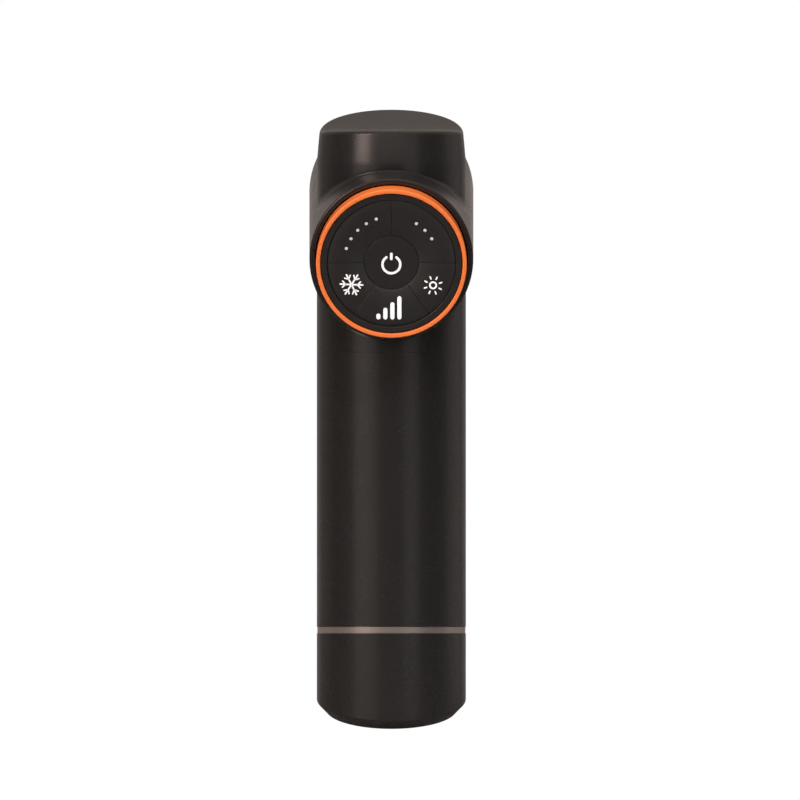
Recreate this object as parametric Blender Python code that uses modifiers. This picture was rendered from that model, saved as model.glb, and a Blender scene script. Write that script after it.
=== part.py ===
"""Hot and cold percussion massager: a raked round barrel on an upright round handle.

World frame: metres, +Z up, +X right seen from behind, +Y towards the massage head.
The origin is the centre of the oblique base face. Pieces of the barrel are placed in
the barrel's own frame, which is raked about X where its axis crosses the handle's.
"""

import math

import bmesh
import bpy
from mathutils import Matrix, Vector

# Clearances shared by all pieces
FIT_GAP = 0.0003
CUT_OVERRUN = 0.002
EDGE_EASE = 0.0003
WELD_DISTANCE = 0.000004

# Handle: base cap, trim band and sleeve, all round the Z axis
HANDLE_RADIUS = 0.0240
HANDLE_WALL = 0.0022
BASE_TILT = math.radians(16.5)
BASE_CHAMFER_WIDTH = 0.0034
BASE_CHAMFER_HEIGHT = 0.0036
CAP_HEIGHT = 0.0244
CAP_FLOOR = 0.0024
SPIGOT_WALL = 0.0018
CAP_SPIGOT_LENGTH = 0.0065
BAND_HEIGHT = 0.0020
BAND_INSET = 0.00015
NECK_SPIGOT_LENGTH = 0.0065
NECK_MARGIN = 0.00125
SEAM_MARGIN = 0.0048

# Barrel: round tube raked upwards to the front
RAKE = math.radians(11.0)
BARREL_OVERHANG = 0.0024
BARREL_WALL = 0.0022
RIM_STANDING = 0.0080
BARREL_FRONT = 0.0811
RIM_ROUND = 0.0014
FILLET_RADIUS = 0.0028
FILLET_TUCK = 0.00003
FILLET_DEPTH = 0.0012

# Turret: the handle's line carried up past the barrel to a dished ramp
MOTOR_HEADROOM = 0.0045
TAPER_LENGTH = 0.0121
TAPER_WIDTH = 0.0009
TAPER_POWER = 1.7
RAMP_RADIUS = 0.150
TURRET_EDGE_ROUND = 0.0012
SPLIT_HEIGHT = 0.0032

# Control panel in the rear mouth of the barrel
RIM_STEP = 0.0020
RING_WIDTH = 0.0016
RING_STANDING = 0.0073
RING_ROUND = 0.0004
SHOULDER_DEPTH = 0.0064
SHOULDER_THICKNESS = 0.0020
SHOULDER_WIDTH = 0.0017
TRAY_THICKNESS = 0.0020
TRAY_BORE = 0.0060
BOARD_THICKNESS = 0.0012
BEZEL_WIDTH = 0.0016
PAD_RECESS = 0.0008
PAD_DISH = 0.0012
PAD_ROUND = 0.0004
BEZEL_RECESS = 0.0005
POWER_RADIUS = 0.0086
KEY_SLIT = 0.0004
KEY_THICKNESS = 0.0036
KEY_TRAVEL = 0.0006
POST_RADIUS = 0.0016
SWITCH_SIZE = 0.0045
SWITCH_HEIGHT = 0.0015
SWITCH_STEM = 0.0006
SWITCH_STEM_RADIUS = 0.0013
INTENSITY_HALF_ANGLE = math.radians(36.0)
DOT_CIRCLE_INSET = 0.0053
DOT_RADIUS = 0.00065
DOT_STEP = math.radians(13.25)
SPEED_DOTS = 5
LEVEL_DOTS = 3
GUIDE_BAR_WIDTH = 0.0020
GUIDE_BAR_THICKNESS = 0.0008

# Percussion drive
STROKE = 0.0100
MOTOR_OFFSET = 0.0040
CRANK_BOTTOM = 0.0042
CRANK_THICKNESS = 0.0030
CRANK_RADIUS = 0.0110
CRANK_PIN_RADIUS = 0.0025
ROD_THICKNESS = 0.0050
ROD_LENGTH = 0.0260
ROD_WIDTH = 0.0070
ROD_BIG_EYE_RADIUS = 0.0080
ROD_SMALL_EYE_RADIUS = 0.0045
ROD_BEARING_WALL = 0.0026
WRIST_PIN_RADIUS = 0.0020
SHAFT_RADIUS = 0.0070
SHAFT_REAR_MARGIN = 0.0052
SHAFT_FRONT_MARGIN = 0.0034
SOCKET_DEPTH = 0.0160
BUSH_WALL = 0.0027
BUSH_LENGTH = 0.0090
PLATE_THICKNESS = 0.0030
RAIL_WIDTH = 0.0020
RAIL_DROP = 0.0060
RAIL_CLEARANCE = 0.0012
RIB_THICKNESS = 0.0030
GUIDE_START = 0.0440
GUIDE_LENGTH = 0.0300
GUIDE_WALL = 0.0020
HUB_HOLE_RADIUS = 0.0060
WIRE_HOLE_MARGIN = 0.0038
WIRE_HOLE_DROP = 0.0080
MOTOR_CLEARANCE = 0.0038
MOTOR_HEIGHT = 0.0196
BELL_WALL = 0.0014
STATOR_GAP = 0.0006
STATOR_FLANGE = 0.0020
STATOR_TOOTH_COUNT = 12
STATOR_SLOT_WIDTH = 0.0016
STATOR_SLOT_DEPTH = 0.0050
MOTOR_SHAFT_RADIUS = 0.0020
BEARING_WALL = 0.0025
BEARING_LENGTH = 0.0035
SCREW_HEAD_RADIUS = 0.0020
SCREW_HEAD_HEIGHT = 0.0018
SCREW_RADIUS = 0.0010
BOSS_WALL = 0.0016
BOSS_SPACING = 0.0360
BOSS_MARGIN = 0.0060
BOSS_CORE_INSET = 0.0010
SCREW_SEAT_DEPTH = 0.0110
SCREW_REACH = 0.0060

# Front collar, seal and the hot and cold massage head
COLLAR_LENGTH = 0.0078
COLLAR_SHOULDER = 0.0069
COLLAR_SPIGOT_LENGTH = 0.0052
COLLAR_WALL = 0.0024
COLLAR_ARC_STEPS = 4
SEAL_WIDTH = 0.0050
SEAL_THICKNESS = 0.0018
SEAL_GROOVE = 0.0005
HEAD_CLEARANCE = 0.0025
HEAD_INSET = 0.0020
HEAD_WALL = 0.0018
HEAD_LENGTH = 0.0265
HEAD_EDGE_ROUND = 0.0025
STEM_RADIUS = 0.0046
STEM_LENGTH = 0.0150
VENT_COUNT = 12
VENT_WIDTH = 0.0022
VENT_LENGTH = 0.0110
VENT_START = 0.0030
PLATE_LIP = 0.0040
PLATE_EDGE_ROUND = 0.0016
PLATE_DOME = 0.0006
COOLER_INSET = 0.00156
COOLER_THICKNESS = 0.0030
GASKET_WIDTH = 0.0024
SINK_BASE = 0.0020
SINK_FIN_HEIGHT = 0.0060
SINK_FIN_COUNT = 9
SINK_FIN_THICKNESS = 0.0010
FAN_CLEARANCE = 0.0032
FAN_HUB_RADIUS = 0.0050
FAN_LENGTH = 0.0045
FAN_BLADE_COUNT = 7
FAN_BLADE_THICKNESS = 0.0008
FAN_BLADE_PITCH = math.radians(32.0)
FAN_MOTOR_RADIUS = 0.0045
FAN_MOTOR_LENGTH = 0.0040

# Cells, boards and charging
CELL_LENGTH = 0.0650
CELL_NUB_RADIUS = 0.0030
CELL_NUB_HEIGHT = 0.0010
CELL_COUNT = 3
HOLDER_RIM = 0.0009
HOLDER_WEB = 0.0006
HOLDER_THICKNESS = 0.0030
HOLDER_POCKET_DEPTH = 0.0055
HOLDER_POST_RADIUS = 0.0020
HOLDER_POST_HEIGHT = 0.0020
HOLDER_POST_INSET = 0.0050
CAP_SCREW_INSET = 0.0043
CAP_SCREW_REACH = 0.0080
CAP_SCREW_ANGLE = math.radians(30.0)
MAIN_BOARD_INSET = 0.0007
MAIN_BOARD_THICKNESS = 0.0016
CHIP_SIZE = 0.0080
CHIP_HEIGHT = 0.0012
COIL_SIZE = 0.0060
COIL_HEIGHT = 0.0032
COIL_GAP = 0.0014
PLUG_WIDTH = 0.0090
PLUG_DEPTH = 0.0050
PLUG_HEIGHT = 0.0035
SOCKET_HEIGHT_OVER_BASE = 0.0130
SOCKET_WIDTH = 0.0090
SOCKET_THICKNESS = 0.0033
SOCKET_LENGTH = 0.0074
SOCKET_SHELL = 0.0004
SOCKET_TONGUE = 0.0007
CHARGE_BOARD_WIDTH = 0.0160
CHARGE_BOARD_LENGTH = 0.0200
CHARGE_POST_RADIUS = 0.0020
CHARGE_POST_OFFSET = 0.0050

# Facets round each kind of turned piece
SHELL_STEPS = 48
PANEL_STEPS = 48
ROUND_PIECE_STEPS = 32
SMALL_STEPS = 18
PIN_STEPS = 12
ROUND_STEPS = 3
EASE_STEPS = 2
FILLET_STEPS = 3
RAMP_RING_SHARES = (0.0, 0.35, 0.7)
DISH_RING_SHARES = (1.0, 0.67, 0.33)
TAPER_RING_SHARES = (0.75, 0.5, 0.25)

# Sizes and places that follow from the values above, from the handle outwards
HANDLE_BORE = HANDLE_RADIUS - HANDLE_WALL
SPIGOT_RADIUS = HANDLE_BORE - FIT_GAP
SPIGOT_BORE = SPIGOT_RADIUS - SPIGOT_WALL
BAND_BOTTOM = CAP_HEIGHT + FIT_GAP
BAND_TOP = BAND_BOTTOM + BAND_HEIGHT
SLEEVE_BOTTOM = BAND_TOP + FIT_GAP
POCKET_RADIUS = ((SPIGOT_RADIUS - HOLDER_RIM) * math.sqrt(3) - HOLDER_WEB) / (2 + math.sqrt(3))
CELL_RADIUS = POCKET_RADIUS - FIT_GAP
CELL_CIRCLE_RADIUS = SPIGOT_RADIUS - HOLDER_RIM - POCKET_RADIUS
HOLDER_POST_CIRCLE = SPIGOT_RADIUS - HOLDER_POST_INSET
CAP_SCREW_CIRCLE = SPIGOT_RADIUS - CAP_SCREW_INSET
MAIN_BOARD_RADIUS = SPIGOT_BORE - MAIN_BOARD_INSET
HOLDER_BOTTOM = CAP_HEIGHT + CAP_SPIGOT_LENGTH + FIT_GAP
CELL_BOTTOM = HOLDER_BOTTOM + HOLDER_THICKNESS + FIT_GAP
CELL_TOP = CELL_BOTTOM + CELL_LENGTH
HOLDER_TOP = CELL_TOP + FIT_GAP + HOLDER_THICKNESS
MAIN_BOARD_BOTTOM = HOLDER_TOP + HOLDER_POST_HEIGHT + FIT_GAP
SEAM_HEIGHT = MAIN_BOARD_BOTTOM + MAIN_BOARD_THICKNESS + PLUG_HEIGHT + SEAM_MARGIN
NECK_BOTTOM = SEAM_HEIGHT + FIT_GAP
NECK_FLOOR = NECK_BOTTOM + HANDLE_WALL
BARREL_RADIUS = HANDLE_RADIUS + BARREL_OVERHANG
BARREL_BORE = BARREL_RADIUS - BARREL_WALL
FILLET_REACH = BARREL_RADIUS + FILLET_RADIUS + (HANDLE_RADIUS + FILLET_RADIUS) * math.sin(RAKE)
CROSSING_HEIGHT = SEAM_HEIGHT + FILLET_REACH / math.cos(RAKE) + NECK_MARGIN
BARREL_REAR = (HANDLE_RADIUS + RIM_STANDING) / math.cos(RAKE)
RING_RADIUS = BARREL_RADIUS - RIM_STEP
MOUTH_RADIUS = RING_RADIUS + FIT_GAP
SHOULDER_RADIUS = BARREL_BORE - SHOULDER_WIDTH
SHOULDER_PLACE = -BARREL_REAR + SHOULDER_DEPTH
TRAY_FRONT = SHOULDER_PLACE - FIT_GAP
TRAY_REAR = TRAY_FRONT - TRAY_THICKNESS
BOARD_FRONT = TRAY_REAR - FIT_GAP
BOARD_REAR = BOARD_FRONT - BOARD_THICKNESS
RING_REAR = -BARREL_REAR - RING_STANDING
RING_BORE = RING_RADIUS - RING_WIDTH
BEZEL_REAR = RING_REAR + BEZEL_RECESS
BEZEL_RADIUS = RING_BORE - FIT_GAP
BEZEL_BORE = BEZEL_RADIUS - BEZEL_WIDTH
PAD_RADIUS = BEZEL_BORE - FIT_GAP
DOT_CIRCLE_RADIUS = PAD_RADIUS - DOT_CIRCLE_INSET
PAD_REAR = RING_REAR + PAD_RECESS
KEY_FRONT = PAD_REAR + PAD_DISH + KEY_THICKNESS
SWITCH_TIP = BOARD_REAR - SWITCH_HEIGHT - SWITCH_STEM
POST_TIP = SWITCH_TIP - FIT_GAP - KEY_TRAVEL
KEY_CENTRE_RADIUS = (PAD_RADIUS + POWER_RADIUS) / 2
CRANK_THROW = STROKE / 2
CRANK_PIN_TIP = ROD_THICKNESS / 2 + FIT_GAP
CRANK_TOP = CRANK_BOTTOM + CRANK_THICKNESS
PLATE_BOTTOM = CRANK_TOP + FIT_GAP
PLATE_TOP = PLATE_BOTTOM + PLATE_THICKNESS
MOTOR_BOTTOM = PLATE_TOP + FIT_GAP
MOTOR_TOP = MOTOR_BOTTOM + MOTOR_HEIGHT
MOTOR_RADIUS = HANDLE_BORE - MOTOR_CLEARANCE
TURRET_TOP = CROSSING_HEIGHT + MOTOR_TOP + MOTOR_HEADROOM
TAPER_START = TURRET_TOP - TAPER_LENGTH
BOSS_RADIUS = SCREW_HEAD_RADIUS + FIT_GAP + BOSS_WALL
BOSS_OFFSET = BARREL_BORE - BOSS_RADIUS
BOSS_FRONT = BARREL_FRONT - COLLAR_SPIGOT_LENGTH - BOSS_RADIUS - BOSS_MARGIN
PLATE_WIDTH = 2 * (BOSS_OFFSET - BOSS_RADIUS - FIT_GAP)
RIB_WIDTH = PLATE_WIDTH - 2 * EDGE_EASE
WIRE_HOLE_RADIUS = RIB_WIDTH / 2 - WIRE_HOLE_MARGIN
RAIL_START = MOTOR_OFFSET + CRANK_THROW + ROD_BIG_EYE_RADIUS + RAIL_CLEARANCE
BIG_EYE_PLACE = MOTOR_OFFSET - CRANK_THROW
WRIST_PLACE = BIG_EYE_PLACE + ROD_LENGTH
ROD_BEARING_BORE = CRANK_PIN_RADIUS + FIT_GAP
ROD_BEARING_RADIUS = ROD_BEARING_BORE + ROD_BEARING_WALL
SHAFT_REAR = WRIST_PLACE - SHAFT_REAR_MARGIN
COLLAR_REAR = BARREL_FRONT + FIT_GAP
COLLAR_FRONT = COLLAR_REAR + COLLAR_LENGTH
COLLAR_FACE_RADIUS = BARREL_RADIUS - COLLAR_SHOULDER
HEAD_RADIUS = COLLAR_FACE_RADIUS - HEAD_INSET
SHAFT_FRONT = COLLAR_FRONT - SHAFT_FRONT_MARGIN
BUSH_BORE = SHAFT_RADIUS + FIT_GAP
BUSH_RADIUS = BUSH_BORE + BUSH_WALL
GUIDE_BORE = BUSH_RADIUS + FIT_GAP
GUIDE_RADIUS = GUIDE_BORE + GUIDE_WALL
GUIDE_END = GUIDE_START + GUIDE_LENGTH
RIB_RADIUS = BARREL_BORE - FIT_GAP
REAR_RIB_PLACE = SHOULDER_PLACE + SHOULDER_THICKNESS + FIT_GAP
HEAD_REAR = COLLAR_FRONT + HEAD_CLEARANCE
HEAD_FRONT = HEAD_REAR + HEAD_LENGTH
CONTACT_REAR = HEAD_FRONT + FIT_GAP
COOLER_REAR = CONTACT_REAR - FIT_GAP - COOLER_THICKNESS
SINK_FRONT = COOLER_REAR - FIT_GAP
SINK_REAR = SINK_FRONT - SINK_BASE - SINK_FIN_HEIGHT
HEAD_BORE = HEAD_RADIUS - HEAD_WALL
HEAD_FLOOR = HEAD_REAR + HEAD_WALL
COOLER_SIDE = (HEAD_BORE - COOLER_INSET) * math.sqrt(2)
FAN_RADIUS = HEAD_BORE - FAN_CLEARANCE
FAN_MOTOR_REAR = HEAD_FLOOR + FIT_GAP
FAN_REAR = FAN_MOTOR_REAR + FAN_MOTOR_LENGTH + FIT_GAP
CHARGE_BOARD_TOP = SOCKET_HEIGHT_OVER_BASE - SOCKET_THICKNESS / 2 - FIT_GAP
CHARGE_BOARD_BOTTOM = CHARGE_BOARD_TOP - BOARD_THICKNESS

DOWN = math.radians(-90.0)
FLAT_ANGLE = math.radians(0.2)
SHARP_ANGLE = math.radians(35.0)
RIGHT_ANGLE = math.radians(90.0)


for old_object in list(bpy.data.objects):
    bpy.data.objects.remove(old_object, do_unlink=True)

parts = bpy.data.collections.new("percussion_massager")
cutters = bpy.data.collections.new("cutters")
bpy.context.scene.collection.children.link(parts)
bpy.context.scene.collection.children.link(cutters)

barrel_frame = bpy.data.objects.new("barrel_frame", None)
barrel_frame.location = (0, 0, CROSSING_HEIGHT)
barrel_frame.rotation_euler = (RAKE, 0, 0)
parts.objects.link(barrel_frame)


def material(name, colour, roughness, metallic=0.0):
    """A Principled material with one linear colour."""
    made = bpy.data.materials.new(name)
    made.use_nodes = True
    shader = made.node_tree.nodes["Principled BSDF"]
    shader.inputs["Base Color"].default_value = (*colour, 1)
    shader.inputs["Roughness"].default_value = roughness
    shader.inputs["Metallic"].default_value = metallic
    return made


BLACK_SHELL = material("black_shell", (0.020, 0.018, 0.017), 0.38)
PANEL_BLACK = material("panel_black", (0.016, 0.016, 0.016), 0.30)
ACCENT = material("accent_orange", (1.0, 0.21, 0.045), 0.35)
BAND_METAL = material("band_metal", (0.20, 0.16, 0.14), 0.35, 1.0)
INNER_BLACK = material("inner_black", (0.030, 0.030, 0.030), 0.60)
BOARD_GREEN = material("board_green", (0.010, 0.090, 0.045), 0.50)
CLEAR = material("light_guide", (0.70, 0.70, 0.68), 0.25)
STEEL = material("steel", (0.55, 0.55, 0.55), 0.30, 1.0)
ALUMINIUM = material("aluminium", (0.78, 0.78, 0.80), 0.30, 1.0)
BRASS = material("brass", (0.65, 0.45, 0.16), 0.35, 1.0)
COPPER = material("copper", (0.72, 0.28, 0.16), 0.40, 1.0)
RUBBER = material("rubber", (0.018, 0.018, 0.018), 0.80)
CERAMIC = material("ceramic", (0.85, 0.85, 0.83), 0.50)
CELL_WRAP = material("cell_wrap", (0.020, 0.120, 0.300), 0.40)


def finish(obj, surface, frame=None, place=(0, 0, 0), turn=(0, 0, 0)):
    """Place an object in its frame and put it among the parts."""
    obj.data.materials.clear()
    obj.data.materials.append(surface)
    parts.objects.link(obj)
    obj.parent = frame
    obj.location = place
    obj.rotation_euler = turn
    obj.data.shade_smooth()
    obj.data.set_sharp_from_angle(angle=SHARP_ANGLE)
    return obj


def as_cutter(obj, frame=None, place=(0, 0, 0), turn=(0, 0, 0)):
    """Place an object that only cuts or joins others among the cutters."""
    cutters.objects.link(obj)
    obj.parent = frame
    obj.location = place
    obj.rotation_euler = turn
    obj.hide_render = True
    obj.display_type = "WIRE"
    return obj


def turned(name, profile, steps=SMALL_STEPS):
    """Profile of (radius, height), top to bottom on the outer side, turned about Z."""
    mesh = bpy.data.meshes.new(name)
    points = [(radius, 0, height) for radius, height in profile]
    edges = [(i, i + 1) for i in range(len(points) - 1)]
    if profile[0][0] > 0:
        edges.append((len(points) - 1, 0))
    mesh.from_pydata(points, edges, [])
    obj = bpy.data.objects.new(name, mesh)
    screw = obj.modifiers.new("turn", "SCREW")
    screw.axis = "Z"
    screw.steps = steps
    screw.render_steps = steps
    screw.use_merge_vertices = True
    screw.merge_threshold = WELD_DISTANCE
    return obj


def solid_rod(radius, low, high):
    """Profile of a plain rod."""
    return [(0, high), (radius, high), (radius, low), (0, low)]


def ring(radius, bore, low, high):
    """Profile of a plain ring."""
    return [(bore, high), (radius, high), (radius, low), (bore, low)]


def arc(centre, radius, start, end, steps):
    """Points of an arc in the profile's plane."""
    angles = [start + (end - start) * i / steps for i in range(steps + 1)]
    return [(centre[0] + radius * math.cos(a), centre[1] + radius * math.sin(a)) for a in angles]


def boxes(name, sizes_and_centres):
    """One mesh of separate boxes, each a (size, centre) pair."""
    bm = bmesh.new()
    for size, centre in sizes_and_centres:
        place = Matrix.Translation(centre) @ Matrix.Diagonal((*size, 1))
        bmesh.ops.create_cube(bm, size=1, matrix=place)
    mesh = bpy.data.meshes.new(name)
    bm.to_mesh(mesh)
    bm.free()
    return bpy.data.objects.new(name, mesh)


def boxes_round(name, count, size, centre, pitch=0):
    """One mesh of equal boxes spaced round Z, each tipped about its own radial line."""
    bm = bmesh.new()
    box = Matrix.Translation(centre) @ Matrix.Rotation(pitch, 4, "X") @ Matrix.Diagonal((*size, 1))
    for i in range(count):
        turn = Matrix.Rotation(math.tau * (i + 0.5) / count, 4, "Z")
        bmesh.ops.create_cube(bm, size=1, matrix=turn @ box)
    mesh = bpy.data.meshes.new(name)
    bm.to_mesh(mesh)
    bm.free()
    return bpy.data.objects.new(name, mesh)


def rods(name, radius, low, high, spots, steps=PIN_STEPS):
    """One mesh of separate upright rods at (x, y) spots."""
    bm = bmesh.new()
    for x, y in spots:
        place = Matrix.Translation((x, y, (low + high) / 2))
        bmesh.ops.create_cone(
            bm, cap_ends=True, segments=steps, radius1=radius, radius2=radius,
            depth=high - low, matrix=place,
        )
    mesh = bpy.data.meshes.new(name)
    bm.to_mesh(mesh)
    bm.free()
    return bpy.data.objects.new(name, mesh)


def combine(obj, other, operation):
    """Cut, join or intersect an object with another that stays in place."""
    modifier = obj.modifiers.new(other.name, "BOOLEAN")
    modifier.operation = operation
    modifier.solver = "EXACT"
    modifier.object = other
    return obj


def cut(obj, other):
    return combine(obj, other, "DIFFERENCE")


def join(obj, other):
    return combine(obj, other, "UNION")


def keep(obj, other):
    return combine(obj, other, "INTERSECT")


# Head shells: turret and barrel joined with a rolling fillet, hollowed and parted

def turret_profile(inset, bottom):
    """Outer line of the turret with a flat top, before the ramp is raised on it."""
    top = TURRET_TOP - inset
    edge_radius = HANDLE_RADIUS - TAPER_WIDTH - inset
    corner = (edge_radius - TURRET_EDGE_ROUND, top - TURRET_EDGE_ROUND)
    profile = [(corner[0] * share, top) for share in RAMP_RING_SHARES]
    profile += arc(corner, TURRET_EDGE_ROUND, math.pi / 2, 0, ROUND_STEPS)
    for share in TAPER_RING_SHARES:
        height = TAPER_START + (corner[1] - TAPER_START) * share
        profile.append((HANDLE_RADIUS - inset - TAPER_WIDTH * share ** TAPER_POWER, height))
    profile += [(HANDLE_RADIUS - inset, TAPER_START), (HANDLE_RADIUS - inset, bottom)]
    return profile + [(0, bottom)]


def ramp_rise(y):
    """Height of the dished ramp over its rear edge."""
    return (y + HANDLE_RADIUS - TAPER_WIDTH) ** 2 / (2 * RAMP_RADIUS)


def baked(obj):
    """The object's evaluated shape as a plain mesh object of the same name."""
    scene_objects = bpy.context.scene.collection.objects
    scene_objects.link(obj)
    graph = bpy.context.evaluated_depsgraph_get()
    mesh = bpy.data.meshes.new_from_object(obj.evaluated_get(graph))
    name = obj.name
    bpy.data.objects.remove(obj, do_unlink=True)
    mesh.name = name
    return bpy.data.objects.new(name, mesh)


def tidied(obj):
    """Weld stray points and merge the flat facets that Booleans have split."""
    bm = bmesh.new()
    bm.from_mesh(obj.data)
    bmesh.ops.remove_doubles(bm, verts=bm.verts, dist=WELD_DISTANCE)
    bmesh.ops.dissolve_degenerate(bm, edges=bm.edges, dist=WELD_DISTANCE)
    bmesh.ops.dissolve_limit(bm, angle_limit=FLAT_ANGLE, verts=bm.verts, edges=bm.edges)
    bm.to_mesh(obj.data)
    bm.free()
    return obj


def turret(name, inset, bottom):
    """Turret solid, its top raised to the ramp and its wall stretched to follow."""
    obj = baked(turned(name, turret_profile(inset, bottom), SHELL_STEPS))
    corner_height = TURRET_TOP - inset - TURRET_EDGE_ROUND
    for vertex in obj.data.vertices:
        share = (vertex.co.z - TAPER_START) / (corner_height - TAPER_START)
        vertex.co.z += ramp_rise(vertex.co.y) * min(max(share, 0), 1)
    return obj


def wall_radius(y, z):
    """Turret radius at a height on the raised wall."""
    corner_height = TURRET_TOP - TURRET_EDGE_ROUND
    raised = corner_height - TAPER_START + ramp_rise(y)
    share = min(max((z - TAPER_START) / raised, 0), 1)
    return HANDLE_RADIUS - TAPER_WIDTH * share ** TAPER_POWER


def fillet_section(azimuth, side):
    """Closed outline of the rolling fillet where it passes one azimuth."""
    wall = HANDLE_RADIUS
    for _ in range(ROUND_STEPS):
        reach = wall - FILLET_TUCK + FILLET_RADIUS
        x = reach * math.cos(azimuth)
        y = reach * math.sin(azimuth)
        from_axis = BARREL_RADIUS - FILLET_TUCK + FILLET_RADIUS
        lift = side * math.sqrt(from_axis ** 2 - x ** 2)
        z = CROSSING_HEIGHT + (lift + y * math.sin(RAKE)) / math.cos(RAKE)
        wall = wall_radius(y, z)
    centre = Vector((x, y, z))
    up = Vector((0, -math.sin(RAKE), math.cos(RAKE)))
    to_barrel = -(Vector((x, 0, 0)) + up * lift).normalized()
    to_turret = -Vector((x, y, 0)).normalized()
    points = [centre + to_barrel * (FILLET_RADIUS + FILLET_DEPTH)]
    for i in range(FILLET_STEPS + 1):
        points.append(centre + to_barrel.slerp(to_turret, i / FILLET_STEPS) * FILLET_RADIUS)
    points.append(centre + to_turret * (FILLET_RADIUS + FILLET_DEPTH))
    spread = (FILLET_RADIUS + FILLET_DEPTH) / (1 + to_barrel.dot(to_turret))
    points.append(centre + (to_barrel + to_turret) * spread)
    return points


def fillet(name, side):
    """Rolling fillet all round the turret, above (1) or below (-1) the barrel."""
    bm = bmesh.new()
    loops = []
    for i in range(SHELL_STEPS):
        azimuth = math.tau * (i + 0.5) / SHELL_STEPS
        loops.append([bm.verts.new(point) for point in fillet_section(azimuth, side)])
    for i, loop in enumerate(loops):
        following = loops[(i + 1) % len(loops)]
        for j, vertex in enumerate(loop):
            k = (j + 1) % len(loop)
            bm.faces.new((vertex, loop[k], following[k], following[j]))
    bmesh.ops.recalc_face_normals(bm, faces=bm.faces)
    mesh = bpy.data.meshes.new(name)
    bm.to_mesh(mesh)
    bm.free()
    return bpy.data.objects.new(name, mesh)


def barrel_profile():
    """Outer line of the barrel with its rounded rear rim."""
    corner = (BARREL_RADIUS - RIM_ROUND, -BARREL_REAR + RIM_ROUND)
    profile = [(0, BARREL_FRONT), (BARREL_RADIUS, BARREL_FRONT)]
    profile += arc(corner, RIM_ROUND, 0, -math.pi / 2, ROUND_STEPS)
    return profile + [(0, -BARREL_REAR)]


def housing_hollow():
    """Everything that is taken out of the head shells, as one cutter."""
    cavity = turret("housing_hollow", HANDLE_WALL, NECK_FLOOR)
    bore = [(0, BARREL_FRONT + CUT_OVERRUN), (BARREL_BORE, BARREL_FRONT + CUT_OVERRUN)]
    bore += [(BARREL_BORE, SHOULDER_PLACE + SHOULDER_THICKNESS)]
    bore += [(SHOULDER_RADIUS, SHOULDER_PLACE + SHOULDER_THICKNESS)]
    bore += [(SHOULDER_RADIUS, SHOULDER_PLACE), (MOUTH_RADIUS, SHOULDER_PLACE)]
    bore += [(MOUTH_RADIUS, -BARREL_REAR - CUT_OVERRUN), (0, -BARREL_REAR - CUT_OVERRUN)]
    barrel = turned("barrel_cavity", bore, SHELL_STEPS)
    join(cavity, as_cutter(barrel, barrel_frame, turn=(DOWN, 0, 0)))
    neck_low = NECK_BOTTOM - NECK_SPIGOT_LENGTH - CUT_OVERRUN
    neck = solid_rod(SPIGOT_BORE, neck_low, NECK_FLOOR + CUT_OVERRUN)
    join(cavity, as_cutter(turned("neck_cavity", neck, SHELL_STEPS)))
    return as_cutter(tidied(baked(cavity)))


def boss_spots():
    places = (BOSS_FRONT - BOSS_SPACING, BOSS_FRONT)
    return [(side * BOSS_OFFSET, place) for place in places for side in (-1, 1)]


def screw_bosses():
    """Screw pillars inside the barrel, trimmed to lie within its wall."""
    pillars = rods("screw_bosses", BOSS_RADIUS, -BARREL_RADIUS, BARREL_RADIUS, boss_spots())
    as_cutter(pillars, barrel_frame)
    core = solid_rod(BARREL_RADIUS - BOSS_CORE_INSET, 0, BARREL_FRONT - EDGE_EASE)
    trim = as_cutter(turned("boss_core", core, SHELL_STEPS), barrel_frame, turn=(DOWN, 0, 0))
    return keep(pillars, trim)


def screw_wells():
    """Screw holes, with the wider wells that the heads go up."""
    low = SPLIT_HEIGHT - SCREW_SEAT_DEPTH
    high = SPLIT_HEIGHT + SCREW_REACH + FIT_GAP
    holes = rods("screw_holes", SCREW_RADIUS + FIT_GAP, -BARREL_RADIUS, high, boss_spots())
    wells = rods(
        "screw_wells", SCREW_HEAD_RADIUS + FIT_GAP, -BARREL_RADIUS - CUT_OVERRUN, low, boss_spots()
    )
    return [as_cutter(holes, barrel_frame), as_cutter(wells, barrel_frame)]


def half_space(name, side):
    """Box above (1) or below (-1) the parting plane of the head shells."""
    reach = CROSSING_HEIGHT
    middle = SPLIT_HEIGHT + side * (FIT_GAP + reach) / 2
    block = boxes(name, [((reach * 2, reach * 2, reach), (0, 0, middle))])
    return as_cutter(block, barrel_frame)


def housings():
    """Upper and lower head shell."""
    shell = turret("head_shell", 0, NECK_BOTTOM)
    barrel = turned("barrel_outer", barrel_profile(), SHELL_STEPS)
    join(shell, as_cutter(barrel, barrel_frame, turn=(DOWN, 0, 0)))
    join(shell, as_cutter(fillet("fillet_over", 1)))
    join(shell, as_cutter(fillet("fillet_under", -1)))
    neck_low = NECK_BOTTOM - NECK_SPIGOT_LENGTH
    spigot = solid_rod(SPIGOT_RADIUS, neck_low, NECK_BOTTOM + EDGE_EASE)
    join(shell, as_cutter(turned("neck_spigot", spigot, SHELL_STEPS)))
    shell = tidied(baked(shell))
    cut(shell, housing_hollow())
    shell = tidied(baked(shell))
    join(shell, screw_bosses())
    for wells in screw_wells():
        cut(shell, wells)
    shell = tidied(baked(shell))
    for name, side in (("upper_housing", 1), ("lower_housing", -1)):
        half = bpy.data.objects.new(name, shell.data.copy())
        keep(half, half_space(name + "_side", side))
        finish(tidied(baked(half)), BLACK_SHELL)


housings()


# Handle

def handle_sleeve():
    low, high = SLEEVE_BOTTOM, SEAM_HEIGHT
    outer = HANDLE_RADIUS
    profile = [(HANDLE_BORE, high), (outer - EDGE_EASE, high), (outer, high - EDGE_EASE)]
    profile += [(outer, low + EDGE_EASE), (outer - EDGE_EASE, low), (HANDLE_BORE, low)]
    finish(turned("handle_sleeve", profile, SHELL_STEPS), BLACK_SHELL)


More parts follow.
